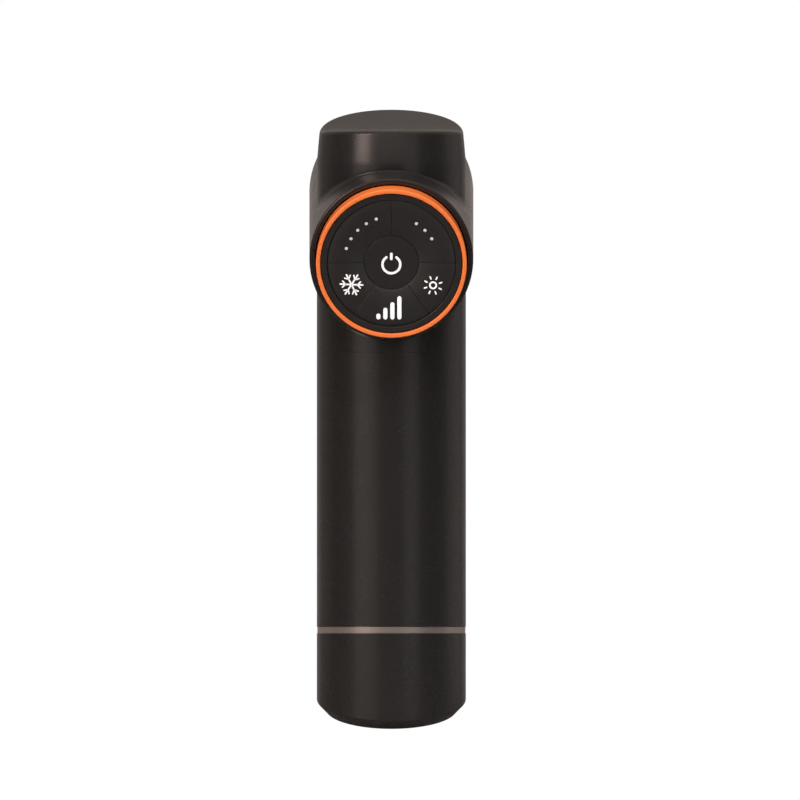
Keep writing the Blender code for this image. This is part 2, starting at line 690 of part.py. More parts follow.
def trim_band():
    profile = ring(HANDLE_RADIUS - BAND_INSET, HANDLE_BORE, BAND_BOTTOM, BAND_TOP)
    finish(turned("trim_band", profile, SHELL_STEPS), BAND_METAL)


def tilt_bottom(obj):
    """Shear the lower end of an upright solid to the slope of the base."""
    for vertex in obj.data.vertices:
        share = min(max((CAP_HEIGHT - vertex.co.z) / CAP_HEIGHT, 0), 1)
        if vertex.co.z <= BASE_CHAMFER_HEIGHT + EDGE_EASE:
            share = 1
        vertex.co.z += vertex.co.y * math.tan(BASE_TILT) * share
    return obj


def cap_screw_spots():
    angles = [CAP_SCREW_ANGLE, math.pi - CAP_SCREW_ANGLE]
    return [(CAP_SCREW_CIRCLE * math.cos(a), CAP_SCREW_CIRCLE * math.sin(a)) for a in angles]


def bottom_cap():
    """Cap with the oblique chamfered base, the spigot, screw pillars and socket hole."""
    top = CAP_HEIGHT + CAP_SPIGOT_LENGTH
    flat = HANDLE_RADIUS - BASE_CHAMFER_WIDTH
    profile = [(0, top), (SPIGOT_RADIUS, top), (SPIGOT_RADIUS, CAP_HEIGHT)]
    profile += [(HANDLE_RADIUS - EDGE_EASE, CAP_HEIGHT), (HANDLE_RADIUS, CAP_HEIGHT - EDGE_EASE)]
    profile += [(HANDLE_RADIUS, BASE_CHAMFER_HEIGHT), (flat, 0), (0, 0)]
    cap = tilt_bottom(baked(turned("bottom_cap", profile, SHELL_STEPS)))
    hollow = solid_rod(SPIGOT_BORE, CAP_FLOOR, top + CUT_OVERRUN)
    cut(cap, as_cutter(tilt_bottom(baked(turned("cap_cavity", hollow, SHELL_STEPS)))))
    pillar_radius = SCREW_RADIUS + FIT_GAP + BOSS_WALL
    join(cap, as_cutter(rods("cap_bosses", pillar_radius, CAP_HEIGHT / 2, top, cap_screw_spots())))
    screw_low = top - CAP_SCREW_REACH - FIT_GAP
    bores = rods("cap_bores", SCREW_RADIUS + FIT_GAP, screw_low, top + CUT_OVERRUN, cap_screw_spots())
    cut(cap, as_cutter(bores))
    posts = [(side * CHARGE_POST_OFFSET, CHARGE_POST_OFFSET) for side in (-1, 1)]
    post_top = CHARGE_BOARD_BOTTOM - FIT_GAP
    join(cap, as_cutter(rods("charge_posts", CHARGE_POST_RADIUS, CAP_FLOOR, post_top, posts)))
    hole_size = (SOCKET_WIDTH + 2 * FIT_GAP, 2 * SOCKET_LENGTH, SOCKET_THICKNESS + 2 * FIT_GAP)
    hole_centre = (0, HANDLE_RADIUS, SOCKET_HEIGHT_OVER_BASE)
    cut(cap, as_cutter(boxes("socket_hole", [(hole_size, hole_centre)])))
    finish(cap, BLACK_SHELL)


def charge_parts():
    """Small board on two posts, with the charging socket on its front edge."""
    front = SPIGOT_BORE - FIT_GAP * 2
    size = (CHARGE_BOARD_WIDTH, CHARGE_BOARD_LENGTH, BOARD_THICKNESS)
    half = CHARGE_BOARD_WIDTH / 2
    reach = math.sqrt(front ** 2 - half ** 2)
    centre = (0, reach - CHARGE_BOARD_LENGTH / 2, CHARGE_BOARD_TOP - BOARD_THICKNESS / 2)
    finish(boxes("charge_board", [(size, centre)]), BOARD_GREEN)
    end = HANDLE_RADIUS - EDGE_EASE
    outer = (SOCKET_WIDTH, SOCKET_LENGTH, SOCKET_THICKNESS)
    middle = (0, end - SOCKET_LENGTH / 2, SOCKET_HEIGHT_OVER_BASE)
    socket = boxes("charge_socket", [(outer, middle)])
    depth = SOCKET_LENGTH - SOCKET_SHELL
    inner = (SOCKET_WIDTH - 2 * SOCKET_SHELL, depth, SOCKET_THICKNESS - 2 * SOCKET_SHELL)
    hollow = boxes("socket_hollow", [(inner, (0, end - depth / 2 + SOCKET_SHELL, middle[2]))])
    cut(socket, as_cutter(hollow))
    tongue = (SOCKET_WIDTH / 2, SOCKET_LENGTH - SOCKET_SHELL, SOCKET_TONGUE)
    tongue_middle = (0, end - SOCKET_LENGTH / 2 - SOCKET_SHELL / 2, middle[2])
    join(socket, as_cutter(boxes("socket_tongue", [(tongue, tongue_middle)])))
    finish(socket, STEEL)


def cell_spots():
    angles = [math.tau * (i / CELL_COUNT + 0.25) for i in range(CELL_COUNT)]
    return [(CELL_CIRCLE_RADIUS * math.cos(a), CELL_CIRCLE_RADIUS * math.sin(a)) for a in angles]


def battery_pack():
    """Three cells standing between a lower and an upper holder."""
    nub = CELL_TOP - CELL_NUB_HEIGHT
    profile = [(0, CELL_TOP), (CELL_NUB_RADIUS, CELL_TOP), (CELL_NUB_RADIUS, nub)]
    profile += [(CELL_RADIUS, nub), (CELL_RADIUS, CELL_BOTTOM), (0, CELL_BOTTOM)]
    for number, (x, y) in enumerate(cell_spots(), 1):
        finish(turned(f"battery_cell_{number}", profile), CELL_WRAP, place=(x, y, 0))
    pocket = CELL_RADIUS + FIT_GAP
    low_top = CELL_BOTTOM + HOLDER_POCKET_DEPTH
    lower = turned("cell_holder_lower", solid_rod(SPIGOT_RADIUS, HOLDER_BOTTOM, low_top))
    pocket_floor = HOLDER_BOTTOM + HOLDER_THICKNESS
    pockets = rods("pockets_lower", pocket, pocket_floor, low_top + CUT_OVERRUN, cell_spots(), SMALL_STEPS)
    cut(lower, as_cutter(pockets))
    seat = rods(
        "head_seats", SCREW_HEAD_RADIUS + FIT_GAP, pocket_floor, low_top + CUT_OVERRUN, cap_screw_spots()
    )
    through = rods(
        "shank_holes", SCREW_RADIUS + FIT_GAP, HOLDER_BOTTOM - CUT_OVERRUN, low_top, cap_screw_spots()
    )
    cut(lower, as_cutter(seat))
    cut(lower, as_cutter(through))
    finish(lower, INNER_BLACK)
    high_low = CELL_TOP - HOLDER_POCKET_DEPTH
    upper = turned("cell_holder_upper", solid_rod(SPIGOT_RADIUS, high_low, HOLDER_TOP))
    roof = CELL_TOP + FIT_GAP
    pockets = rods("pockets_upper", pocket, high_low - CUT_OVERRUN, roof, cell_spots(), SMALL_STEPS)
    cut(upper, as_cutter(pockets))
    angles = [math.tau * (i / CELL_COUNT - 0.25) for i in range(CELL_COUNT)]
    spots = [(HOLDER_POST_CIRCLE * math.cos(a), HOLDER_POST_CIRCLE * math.sin(a)) for a in angles]
    post_top = HOLDER_TOP + HOLDER_POST_HEIGHT
    posts = rods("board_posts", HOLDER_POST_RADIUS, roof, post_top, spots)
    join(upper, as_cutter(posts))
    finish(upper, INNER_BLACK)
    screw_bottom = CAP_HEIGHT + CAP_SPIGOT_LENGTH - CAP_SCREW_REACH
    head_low = pocket_floor + FIT_GAP
    screw = screw_profile(screw_bottom, head_low, head_low + SCREW_HEAD_HEIGHT)
    for number, (x, y) in enumerate(cap_screw_spots(), 1):
        finish(turned(f"cap_screw_{number}", screw, PIN_STEPS), STEEL, place=(x, y, 0))


def screw_profile(tip, seat, top):
    """A pan head screw, head up."""
    profile = [(0, top), (SCREW_HEAD_RADIUS, top), (SCREW_HEAD_RADIUS, seat)]
    return profile + [(SCREW_RADIUS, seat), (SCREW_RADIUS, tip), (0, tip)]


def main_board():
    """Round board over the cells with a chip, two coils and a wire plug."""
    top = MAIN_BOARD_BOTTOM + MAIN_BOARD_THICKNESS
    board = turned("main_board", solid_rod(MAIN_BOARD_RADIUS, MAIN_BOARD_BOTTOM, top))
    sunk = MAIN_BOARD_THICKNESS / 2
    chip = ((CHIP_SIZE, CHIP_SIZE, CHIP_HEIGHT + sunk), (0, 0, top + CHIP_HEIGHT / 2 - sunk / 2))
    coil_size = (COIL_SIZE, COIL_SIZE, COIL_HEIGHT + sunk)
    coil_height = top + COIL_HEIGHT / 2 - sunk / 2
    coil_place = (CHIP_SIZE + COIL_SIZE) / 2 + COIL_GAP
    coils = [(coil_size, (side * coil_place, 0, coil_height)) for side in (-1, 1)]
    plug_size = (PLUG_WIDTH, PLUG_DEPTH, PLUG_HEIGHT + sunk)
    plug_place = (0, -MAIN_BOARD_RADIUS / 2, top + PLUG_HEIGHT / 2 - sunk / 2)
    fitted = boxes("board_fittings", [chip, *coils, (plug_size, plug_place)])
    join(board, as_cutter(fitted))
    finish(board, BOARD_GREEN)


handle_sleeve()
trim_band()
bottom_cap()
charge_parts()
battery_pack()
main_board()


# Control panel

def on_barrel(obj, surface):
    """Finish a turned piece whose axis is the barrel's."""
    return finish(obj, surface, barrel_frame, turn=(DOWN, 0, 0))


def accent_ring():
    outer = RING_RADIUS
    inner = RING_BORE
    profile = [(inner, BOARD_FRONT), (outer, BOARD_FRONT)]
    profile += arc((outer - RING_ROUND, RING_REAR + RING_ROUND), RING_ROUND, 0, -math.pi / 2, EASE_STEPS)
    profile += arc(
        (inner + RING_ROUND, RING_REAR + RING_ROUND), RING_ROUND, -math.pi / 2, -math.pi, EASE_STEPS
    )
    on_barrel(turned("accent_ring", profile, PANEL_STEPS), ACCENT)


def panel_seat():
    """Tray, key board and bezel behind the keys."""
    tray = ring(RING_RADIUS, TRAY_BORE, TRAY_REAR, TRAY_FRONT)
    on_barrel(turned("panel_tray", tray, PANEL_STEPS), INNER_BLACK)
    board = solid_rod(BEZEL_RADIUS, BOARD_REAR, BOARD_FRONT)
    on_barrel(turned("key_board", board), BOARD_GREEN)
    low = BEZEL_REAR
    profile = [(BEZEL_BORE, BOARD_REAR - FIT_GAP), (BEZEL_RADIUS, BOARD_REAR - FIT_GAP)]
    profile += [(BEZEL_RADIUS, low + EDGE_EASE), (BEZEL_RADIUS - EDGE_EASE, low)]
    profile += [(BEZEL_BORE + EDGE_EASE, low), (BEZEL_BORE, low + EDGE_EASE)]
    on_barrel(turned("panel_bezel", profile, PANEL_STEPS), PANEL_BLACK)


def dish(radius):
    """Depth of the dished pad at a radius."""
    return PAD_DISH * (1 - (radius / PAD_RADIUS) ** 2)


def power_button():
    edge = POWER_RADIUS - PAD_ROUND
    profile = [(0, POST_TIP), (POST_RADIUS, POST_TIP), (POST_RADIUS, KEY_FRONT), (POWER_RADIUS, KEY_FRONT)]
    profile += [(POWER_RADIUS, PAD_REAR + dish(edge) + PAD_ROUND)]
    profile += [(edge * share, PAD_REAR + dish(edge * share)) for share in DISH_RING_SHARES]
    profile += [(0, PAD_REAR + dish(0))]
    on_barrel(turned("power_button", profile, PANEL_STEPS), PANEL_BLACK)


def pad_ring(name, inner_radius):
    """The dished pad round the power button, before it is cut into keys."""
    profile = [(inner_radius, KEY_FRONT), (PAD_RADIUS, KEY_FRONT)]
    rim = PAD_REAR + PAD_ROUND
    profile += [(PAD_RADIUS, rim), (PAD_RADIUS - PAD_ROUND, PAD_REAR + dish(PAD_RADIUS - PAD_ROUND))]
    inner_edge = inner_radius + PAD_ROUND
    span = PAD_RADIUS - PAD_ROUND - inner_edge
    for share in (*DISH_RING_SHARES[1:], 0.0):
        radius = inner_edge + span * share
        profile.append((radius, PAD_REAR + dish(radius)))
    profile.append((inner_radius, PAD_REAR + dish(inner_edge) + PAD_ROUND))
    return turned(name, profile, PANEL_STEPS)


def sector(name, start, end):
    """Upright wedge between two clockwise angles from the panel's top, slits taken off."""
    middle = (start + end) / 2
    half = (end - start) / 2
    apex = KEY_SLIT / 2 / math.sin(half)
    reach = PAD_RADIUS * 2
    angles = [middle - half, middle, middle + half]
    points = [(apex * math.sin(middle), apex * math.cos(middle))]
    for angle in angles:
        points.append((points[0][0] + reach * math.sin(angle), points[0][1] + reach * math.cos(angle)))
    curve = bpy.data.curves.new(name, "CURVE")
    curve.dimensions = "2D"
    curve.fill_mode = "BOTH"
    curve.extrude = BARREL_REAR
    spline = curve.splines.new("POLY")
    spline.points.add(len(points) - 1)
    for point, (x, w) in zip(spline.points, points):
        point.co = (x, w, 0, 1)
    spline.use_cyclic_u = True
    wedge = baked(bpy.data.objects.new(name, curve))
    bm = bmesh.new()
    bm.from_mesh(wedge.data)
    bmesh.ops.remove_doubles(bm, verts=bm.verts, dist=WELD_DISTANCE)
    bmesh.ops.recalc_face_normals(bm, faces=bm.faces)
    bm.to_mesh(wedge.data)
    bm.free()
    return as_cutter(wedge, barrel_frame, (0, -BARREL_REAR, 0), (-DOWN, 0, 0))


def along_barrel(name, radius, rear, front, angle, from_centre, steps=PIN_STEPS):
    """Rod along the barrel at a clockwise angle from the panel's top."""
    spot = (from_centre * math.sin(angle), -from_centre * math.cos(angle))
    return as_cutter(rods(name, radius, rear, front, [spot], steps), barrel_frame, turn=(DOWN, 0, 0))


def sector_piece(name, start, end, surface):
    """One key or window of the pad between two clockwise angles."""
    piece = pad_ring(name, POWER_RADIUS + KEY_SLIT)
    keep(piece, sector(name + "_sector", start, end))
    return on_barrel(piece, surface)


def keys():
    """Three sprung keys below the two fixed windows, with a post behind each key."""
    corner = math.pi - INTENSITY_HALF_ANGLE
    for name, start, end in (
        ("heat_button", RIGHT_ANGLE, corner),
        ("intensity_button", corner, math.tau - corner),
        ("cold_button", math.tau - corner, math.tau - RIGHT_ANGLE),
    ):
        key = sector_piece(name, start, end, PANEL_BLACK)
        middle = (start + end) / 2
        sunk = KEY_FRONT - PAD_ROUND
        join(key, along_barrel(name + "_post", POST_RADIUS, sunk, POST_TIP, middle, KEY_CENTRE_RADIUS))
    sector_piece("level_window", 0, RIGHT_ANGLE, PANEL_BLACK)
    sector_piece("speed_window", -RIGHT_ANGLE, 0, PANEL_BLACK)


def switches():
    """A tact switch behind each key."""
    corner = math.pi - INTENSITY_HALF_ANGLE
    side = (RIGHT_ANGLE + corner) / 2
    places = {"power": (0, 0), "heat": (side, KEY_CENTRE_RADIUS)}
    places["intensity"] = (math.pi, KEY_CENTRE_RADIUS)
    places["cold"] = (-side, KEY_CENTRE_RADIUS)
    body_rear = BOARD_REAR - FIT_GAP - SWITCH_HEIGHT
    for name, (angle, from_centre) in places.items():
        x = from_centre * math.sin(angle)
        w = from_centre * math.cos(angle)
        size = (SWITCH_SIZE, SWITCH_HEIGHT, SWITCH_SIZE)
        switch = boxes(name + "_switch", [(size, (x, body_rear + SWITCH_HEIGHT / 2, w))])
        stem_front = body_rear + SWITCH_HEIGHT / 2
        stem = along_barrel(name + "_stem", SWITCH_STEM_RADIUS, SWITCH_TIP, stem_front, angle, from_centre)
        join(switch, stem)
        finish(switch, INNER_BLACK, barrel_frame)


def light_guide(name, count, side):
    """A clear bar of pins, one behind each indicator dot of a window."""
    middle = side * RIGHT_ANGLE / 2
    angles = [middle + DOT_STEP * (i - (count - 1) / 2) for i in range(count)]
    bar_front = BOARD_REAR - FIT_GAP
    bar_rear = bar_front - GUIDE_BAR_THICKNESS
    inner = DOT_CIRCLE_RADIUS - GUIDE_BAR_WIDTH / 2
    outer = DOT_CIRCLE_RADIUS + GUIDE_BAR_WIDTH / 2
    guide = turned(name, ring(outer, inner, bar_rear, bar_front), PANEL_STEPS)
    keep(guide, sector(name + "_span", min(angles) - DOT_STEP / 2, max(angles) + DOT_STEP / 2))
    for number, angle in enumerate(angles, 1):
        pin = (KEY_FRONT + FIT_GAP, bar_front - GUIDE_BAR_THICKNESS / 2)
        join(guide, along_barrel(f"{name}_pin_{number}", DOT_RADIUS, *pin, angle, DOT_CIRCLE_RADIUS))
    on_barrel(guide, CLEAR)


accent_ring()
panel_seat()
power_button()
keys()
switches()
light_guide("speed_light_guide", SPEED_DOTS, -1)
light_guide("level_light_guide", LEVEL_DOTS, 1)


# Percussion drive

def upright(obj, surface, place):
    """Finish a turned piece that stands across the barrel at a place along it."""
    return finish(obj, surface, barrel_frame, (0, place, 0))


def rib(name, place):
    """Slab across the barrel that seats the drive frame in its bore."""
    disc = turned(name, solid_rod(RIB_RADIUS, place, place + RIB_THICKNESS))
    as_cutter(disc, barrel_frame, turn=(DOWN, 0, 0))
    side = 2 * RIB_RADIUS + CUT_OVERRUN
    size = (RIB_WIDTH, side, side)
    return keep(disc, as_cutter(boxes(name + "_trim", [(size, (0, place, 0))]), barrel_frame))


def drive_frame():
    """Motor plate, side rails, three ribs and the guide tube in one casting."""
    rear = REAR_RIB_PLACE
    plate_rear = rear + RIB_THICKNESS / 2
    length = GUIDE_START + RIB_THICKNESS / 2 - plate_rear
    middle = plate_rear + length / 2
    plate_height = PLATE_BOTTOM + PLATE_THICKNESS / 2
    frame = boxes("drive_frame", [((PLATE_WIDTH, length, PLATE_THICKNESS), (0, middle, plate_height))])
    hub_low = PLATE_BOTTOM - CUT_OVERRUN
    hub_high = PLATE_TOP + CUT_OVERRUN
    hub = rods("hub_hole", HUB_HOLE_RADIUS, hub_low, hub_high, [(0, MOTOR_OFFSET)], SMALL_STEPS)
    cut(frame, as_cutter(hub, barrel_frame))
    rail_height = RAIL_DROP + plate_height
    rail_side = (PLATE_WIDTH - RAIL_WIDTH) / 2 - EDGE_EASE
    rail_length = GUIDE_START + EDGE_EASE + RIB_THICKNESS / 2 - RAIL_START
    rail_middle = RAIL_START + rail_length / 2
    rail_low = plate_height - rail_height / 2
    rail_size = (RAIL_WIDTH, rail_length, rail_height)
    rails = [(rail_size, (side * rail_side, rail_middle, rail_low)) for side in (-1, 1)]
    join(frame, as_cutter(boxes("frame_rails", rails), barrel_frame))
    wires = solid_rod(WIRE_HOLE_RADIUS, rear - CUT_OVERRUN, rear + RIB_THICKNESS + CUT_OVERRUN)
    wire_hole = as_cutter(turned("wire_hole", wires), barrel_frame, (0, 0, -WIRE_HOLE_DROP), (DOWN, 0, 0))
    join(frame, cut(rib("frame_rib_rear", rear), wire_hole))
    tube = ring(GUIDE_RADIUS, GUIDE_BORE, GUIDE_START, GUIDE_END)
    guide = as_cutter(turned("guide_tube", tube), barrel_frame, turn=(DOWN, 0, 0))
    bore = solid_rod((GUIDE_BORE + GUIDE_RADIUS) / 2, GUIDE_START - CUT_OVERRUN, GUIDE_END + CUT_OVERRUN)
    core = as_cutter(turned("guide_core", bore), barrel_frame, turn=(DOWN, 0, 0))
    join(frame, rib("frame_rib_middle", GUIDE_START + EDGE_EASE))
    join(frame, rib("frame_rib_front", GUIDE_END - RIB_THICKNESS - EDGE_EASE))
    cut(frame, core)
    join(frame, guide)
    finish(frame, ALUMINIUM, barrel_frame)


def motor():
    """Outrunner motor: wound stator on the plate, rotor bell over it, two bearings."""
    stator_radius = MOTOR_RADIUS - BELL_WALL - STATOR_GAP
    bore = MOTOR_SHAFT_RADIUS + FIT_GAP + BEARING_WALL + FIT_GAP
    flange_top = MOTOR_BOTTOM + STATOR_FLANGE
    stator_top = MOTOR_TOP - BELL_WALL - STATOR_GAP
    profile = [(bore, stator_top), (stator_radius, stator_top), (stator_radius, flange_top)]
    profile += [(MOTOR_RADIUS, flange_top), (MOTOR_RADIUS, MOTOR_BOTTOM), (bore, MOTOR_BOTTOM)]
    stator = turned("motor_stator", profile, STATOR_TOOTH_COUNT * 2)
    bell_low = flange_top + STATOR_GAP
    height = stator_top + CUT_OVERRUN - bell_low
    from_axis = stator_radius - STATOR_SLOT_DEPTH / 2 + CUT_OVERRUN / 2
    size = (STATOR_SLOT_DEPTH + CUT_OVERRUN, STATOR_SLOT_WIDTH, height)
    slots = boxes_round("stator_slots", STATOR_TOOTH_COUNT, size, (from_axis, 0, bell_low + height / 2))
    cut(stator, as_cutter(slots, barrel_frame, (0, MOTOR_OFFSET, 0)))
    upright(stator, COPPER, MOTOR_OFFSET)
    inner = MOTOR_RADIUS - BELL_WALL
    roof = MOTOR_TOP - BELL_WALL
    profile = [(0, MOTOR_TOP), (MOTOR_RADIUS, MOTOR_TOP), (MOTOR_RADIUS, bell_low), (inner, bell_low)]
    profile += [(inner, roof), (MOTOR_SHAFT_RADIUS, roof), (MOTOR_SHAFT_RADIUS, CRANK_BOTTOM + EDGE_EASE)]
    profile += [(0, CRANK_BOTTOM + EDGE_EASE)]
    upright(turned("motor_rotor", profile, ROUND_PIECE_STEPS), STEEL, MOTOR_OFFSET)
    bearing_radius = MOTOR_SHAFT_RADIUS + FIT_GAP + BEARING_WALL
    bearing_bore = MOTOR_SHAFT_RADIUS + FIT_GAP
    lows = {"motor_bearing_lower": MOTOR_BOTTOM, "motor_bearing_upper": stator_top - BEARING_LENGTH}
    for name, low in lows.items():
        profile = ring(bearing_radius, bearing_bore, low, low + BEARING_LENGTH)
        upright(turned(name, profile), STEEL, MOTOR_OFFSET)


def crank_disc():
    """Disc clamped on the motor shaft, with the offset pin that drives the rod."""
    profile = ring(CRANK_RADIUS, MOTOR_SHAFT_RADIUS + FIT_GAP, CRANK_BOTTOM, CRANK_TOP)
    disc = turned("crank_disc", profile)
    pin_place = (0, -CRANK_THROW)
    sunk = CRANK_BOTTOM + CRANK_THICKNESS / 2
    pin = rods("crank_pin", CRANK_PIN_RADIUS, CRANK_PIN_TIP, sunk, [pin_place])
    join(disc, as_cutter(pin, barrel_frame, (0, MOTOR_OFFSET, 0)))
    upright(disc, STEEL, MOTOR_OFFSET)


def connecting_rod():
    """Flat rod between the crank pin's bearing and the wrist pin."""
    half = ROD_THICKNESS / 2
    rod = rods("connecting_rod", ROD_SMALL_EYE_RADIUS, -half, half, [(0, 0)], SMALL_STEPS)
    big = rods("rod_big_eye", ROD_BIG_EYE_RADIUS, -half, half, [(0, -ROD_LENGTH)], SMALL_STEPS)
    join(rod, as_cutter(big, barrel_frame, (0, WRIST_PLACE, 0)))
    shank_size = (ROD_WIDTH, ROD_LENGTH, ROD_THICKNESS - 2 * EDGE_EASE)
    shank = boxes("rod_shank", [(shank_size, (0, -ROD_LENGTH / 2, 0))])
    join(rod, as_cutter(shank, barrel_frame, (0, WRIST_PLACE, 0)))
    eye = rods("rod_eye_bore", ROD_BEARING_RADIUS + FIT_GAP, -half - CUT_OVERRUN, half + CUT_OVERRUN,
               [(0, -ROD_LENGTH)], SMALL_STEPS)
    cut(rod, as_cutter(eye, barrel_frame, (0, WRIST_PLACE, 0)))
    wrist = rods("rod_wrist_bore", WRIST_PIN_RADIUS + FIT_GAP, -half - CUT_OVERRUN, half + CUT_OVERRUN,
                 [(0, 0)])
    cut(rod, as_cutter(wrist, barrel_frame, (0, WRIST_PLACE, 0)))
    upright(rod, ALUMINIUM, WRIST_PLACE)
    bearing = ring(ROD_BEARING_RADIUS, ROD_BEARING_BORE, -half, half)
    upright(turned("rod_bearing", bearing), STEEL, BIG_EYE_PLACE)


def percussion_shaft():
    """Shaft with a fork for the rod at the rear and a socket for the head in front."""
    floor = SHAFT_FRONT - SOCKET_DEPTH
    socket = STEM_RADIUS + FIT_GAP
    profile = [(0, floor), (socket, floor), (socket, SHAFT_FRONT), (SHAFT_RADIUS, SHAFT_FRONT)]
    profile += [(SHAFT_RADIUS, SHAFT_REAR), (0, SHAFT_REAR)]
    shaft = turned("percussion_shaft", profile)
    slot_length = SHAFT_REAR_MARGIN + ROD_SMALL_EYE_RADIUS + FIT_GAP + CUT_OVERRUN
    size = (2 * SHAFT_RADIUS + CUT_OVERRUN, slot_length, ROD_THICKNESS + 2 * FIT_GAP)
    middle = SHAFT_REAR - CUT_OVERRUN + slot_length / 2
    cut(shaft, as_cutter(boxes("fork_slot", [(size, (0, middle, 0))]), barrel_frame))
    pin_hole = rods("wrist_hole", WRIST_PIN_RADIUS + FIT_GAP, -SHAFT_RADIUS - CUT_OVERRUN,
                    SHAFT_RADIUS + CUT_OVERRUN, [(0, WRIST_PLACE)])
    cut(shaft, as_cutter(pin_hole, barrel_frame))
    on_barrel(shaft, STEEL)
    reach = SHAFT_RADIUS - EDGE_EASE
    pin = turned("wrist_pin", solid_rod(WRIST_PIN_RADIUS, -reach, reach), PIN_STEPS)
    upright(pin, STEEL, WRIST_PLACE)


def bushes():
    rear = ring(BUSH_RADIUS, BUSH_BORE, GUIDE_START, GUIDE_START + BUSH_LENGTH)
    on_barrel(turned("rear_bush", rear), BRASS)
    front = ring(BUSH_RADIUS, BUSH_BORE, GUIDE_END - BUSH_LENGTH, GUIDE_END)
    on_barrel(turned("front_bush", front), BRASS)


def housing_screws():
    """Screws up through the lower shell into the upper one."""
    seat = SPLIT_HEIGHT - SCREW_SEAT_DEPTH
    tip = -(SPLIT_HEIGHT + SCREW_REACH)
    profile = screw_profile(tip, FIT_GAP - seat, FIT_GAP - seat + SCREW_HEAD_HEIGHT)
    for number, (x, place) in enumerate(boss_spots(), 1):
        screw = turned(f"housing_screw_{number}", profile, PIN_STEPS)
        finish(screw, STEEL, barrel_frame, (x, place, 0), (math.pi, 0, 0))


drive_frame()
motor()
crank_disc()
connecting_rod()
percussion_shaft()
bushes()
housing_screws()


# Front of the barrel and the massage head

def front_collar():
    """Rounded nose that closes the barrel round the shaft."""
    spigot = BARREL_BORE - FIT_GAP
    bore = SHAFT_RADIUS + FIT_GAP + SEAL_WIDTH + FIT_GAP
    shoulder = BARREL_RADIUS - COLLAR_FACE_RADIUS
    inner_face = COLLAR_FRONT - COLLAR_WALL
    profile = [(bore, COLLAR_FRONT)]
    for i in range(COLLAR_ARC_STEPS + 1):
        angle = math.pi / 2 * (1 - i / COLLAR_ARC_STEPS)
        radius = COLLAR_FACE_RADIUS + shoulder * math.cos(angle)
        profile.append((radius, COLLAR_REAR + COLLAR_LENGTH * math.sin(angle)))
    profile += [(spigot, COLLAR_REAR), (spigot, COLLAR_REAR - COLLAR_SPIGOT_LENGTH)]
    profile += [(spigot - COLLAR_WALL, COLLAR_REAR - COLLAR_SPIGOT_LENGTH)]
    profile += [(spigot - COLLAR_WALL, COLLAR_REAR), (COLLAR_FACE_RADIUS, inner_face), (bore, inner_face)]
    on_barrel(turned("front_collar", profile, PANEL_STEPS), BLACK_SHELL)


def shaft_seal():
    inner = SHAFT_RADIUS + FIT_GAP
    outer = inner + SEAL_WIDTH
    middle = COLLAR_FRONT - COLLAR_WALL / 2
    half = SEAL_THICKNESS / 2
    profile = [(inner, middle + half), (outer, middle + half), (outer, middle + SEAL_GROOVE / 2)]
    profile += [(outer - SEAL_GROOVE, middle), (outer, middle - SEAL_GROOVE / 2)]
    profile += [(outer, middle - half), (inner, middle - half)]
    on_barrel(turned("shaft_seal", profile), RUBBER)


def head_body():
    """Vented cup of the massage head, with the stem that plugs into the shaft."""
    stem_tip = HEAD_REAR - HEAD_CLEARANCE - STEM_LENGTH
    corner = (HEAD_RADIUS - HEAD_EDGE_ROUND, HEAD_REAR + HEAD_EDGE_ROUND)
    profile = [(0, HEAD_FLOOR), (HEAD_BORE, HEAD_FLOOR), (HEAD_BORE, HEAD_FRONT), (HEAD_RADIUS, HEAD_FRONT)]
    profile += arc(corner, HEAD_EDGE_ROUND, 0, -math.pi / 2, ROUND_STEPS)
    profile += [(STEM_RADIUS, HEAD_REAR), (STEM_RADIUS, stem_tip), (0, stem_tip)]
    body = turned("head_body", profile, ROUND_PIECE_STEPS)
    size = (HEAD_WALL + 2 * CUT_OVERRUN, VENT_WIDTH, VENT_LENGTH)
    centre = (HEAD_RADIUS - HEAD_WALL / 2, 0, HEAD_FLOOR + VENT_START + VENT_LENGTH / 2)
    vents = boxes_round("head_vents", VENT_COUNT, size, centre)
    cut(body, as_cutter(vents, barrel_frame, turn=(DOWN, 0, 0)))
    on_barrel(body, BLACK_SHELL)


def fan():
    """Small fan behind the heat sink, on its own motor."""
    motor_profile = solid_rod(FAN_MOTOR_RADIUS, FAN_MOTOR_REAR, FAN_MOTOR_REAR + FAN_MOTOR_LENGTH)
    on_barrel(turned("fan_motor", motor_profile), INNER_BLACK)
    rotor = turned("fan_rotor", solid_rod(FAN_HUB_RADIUS, FAN_REAR, FAN_REAR + FAN_LENGTH))
    span = FAN_RADIUS - FAN_HUB_RADIUS / 2
    size = (span, FAN_BLADE_THICKNESS, FAN_LENGTH)
    centre = (FAN_RADIUS - span / 2, 0, FAN_REAR + FAN_LENGTH / 2)
    blades = boxes_round("fan_blades", FAN_BLADE_COUNT, size, centre, FAN_BLADE_PITCH)
    join(rotor, as_cutter(blades, barrel_frame, turn=(DOWN, 0, 0)))
    on_barrel(rotor, INNER_BLACK)


def heat_sink():
    """Round base with straight fins towards the fan."""
    radius = HEAD_BORE - FIT_GAP
    sink = turned("heat_sink", solid_rod(radius, SINK_REAR, SINK_FRONT))
    gap = (2 * radius - SINK_FIN_THICKNESS) / (SINK_FIN_COUNT - 1)
    slot_width = gap - SINK_FIN_THICKNESS
    depth = SINK_FIN_HEIGHT + CUT_OVERRUN
    size = (slot_width, depth, 2 * (radius + CUT_OVERRUN))
    middle = SINK_REAR - CUT_OVERRUN + depth / 2
    places = [gap * (i - SINK_FIN_COUNT / 2 + 1) for i in range(SINK_FIN_COUNT - 1)]
    slots = [(size, (x, middle, 0)) for x in places]
    cut(sink, as_cutter(boxes("sink_slots", slots), barrel_frame))
    on_barrel(sink, ALUMINIUM)


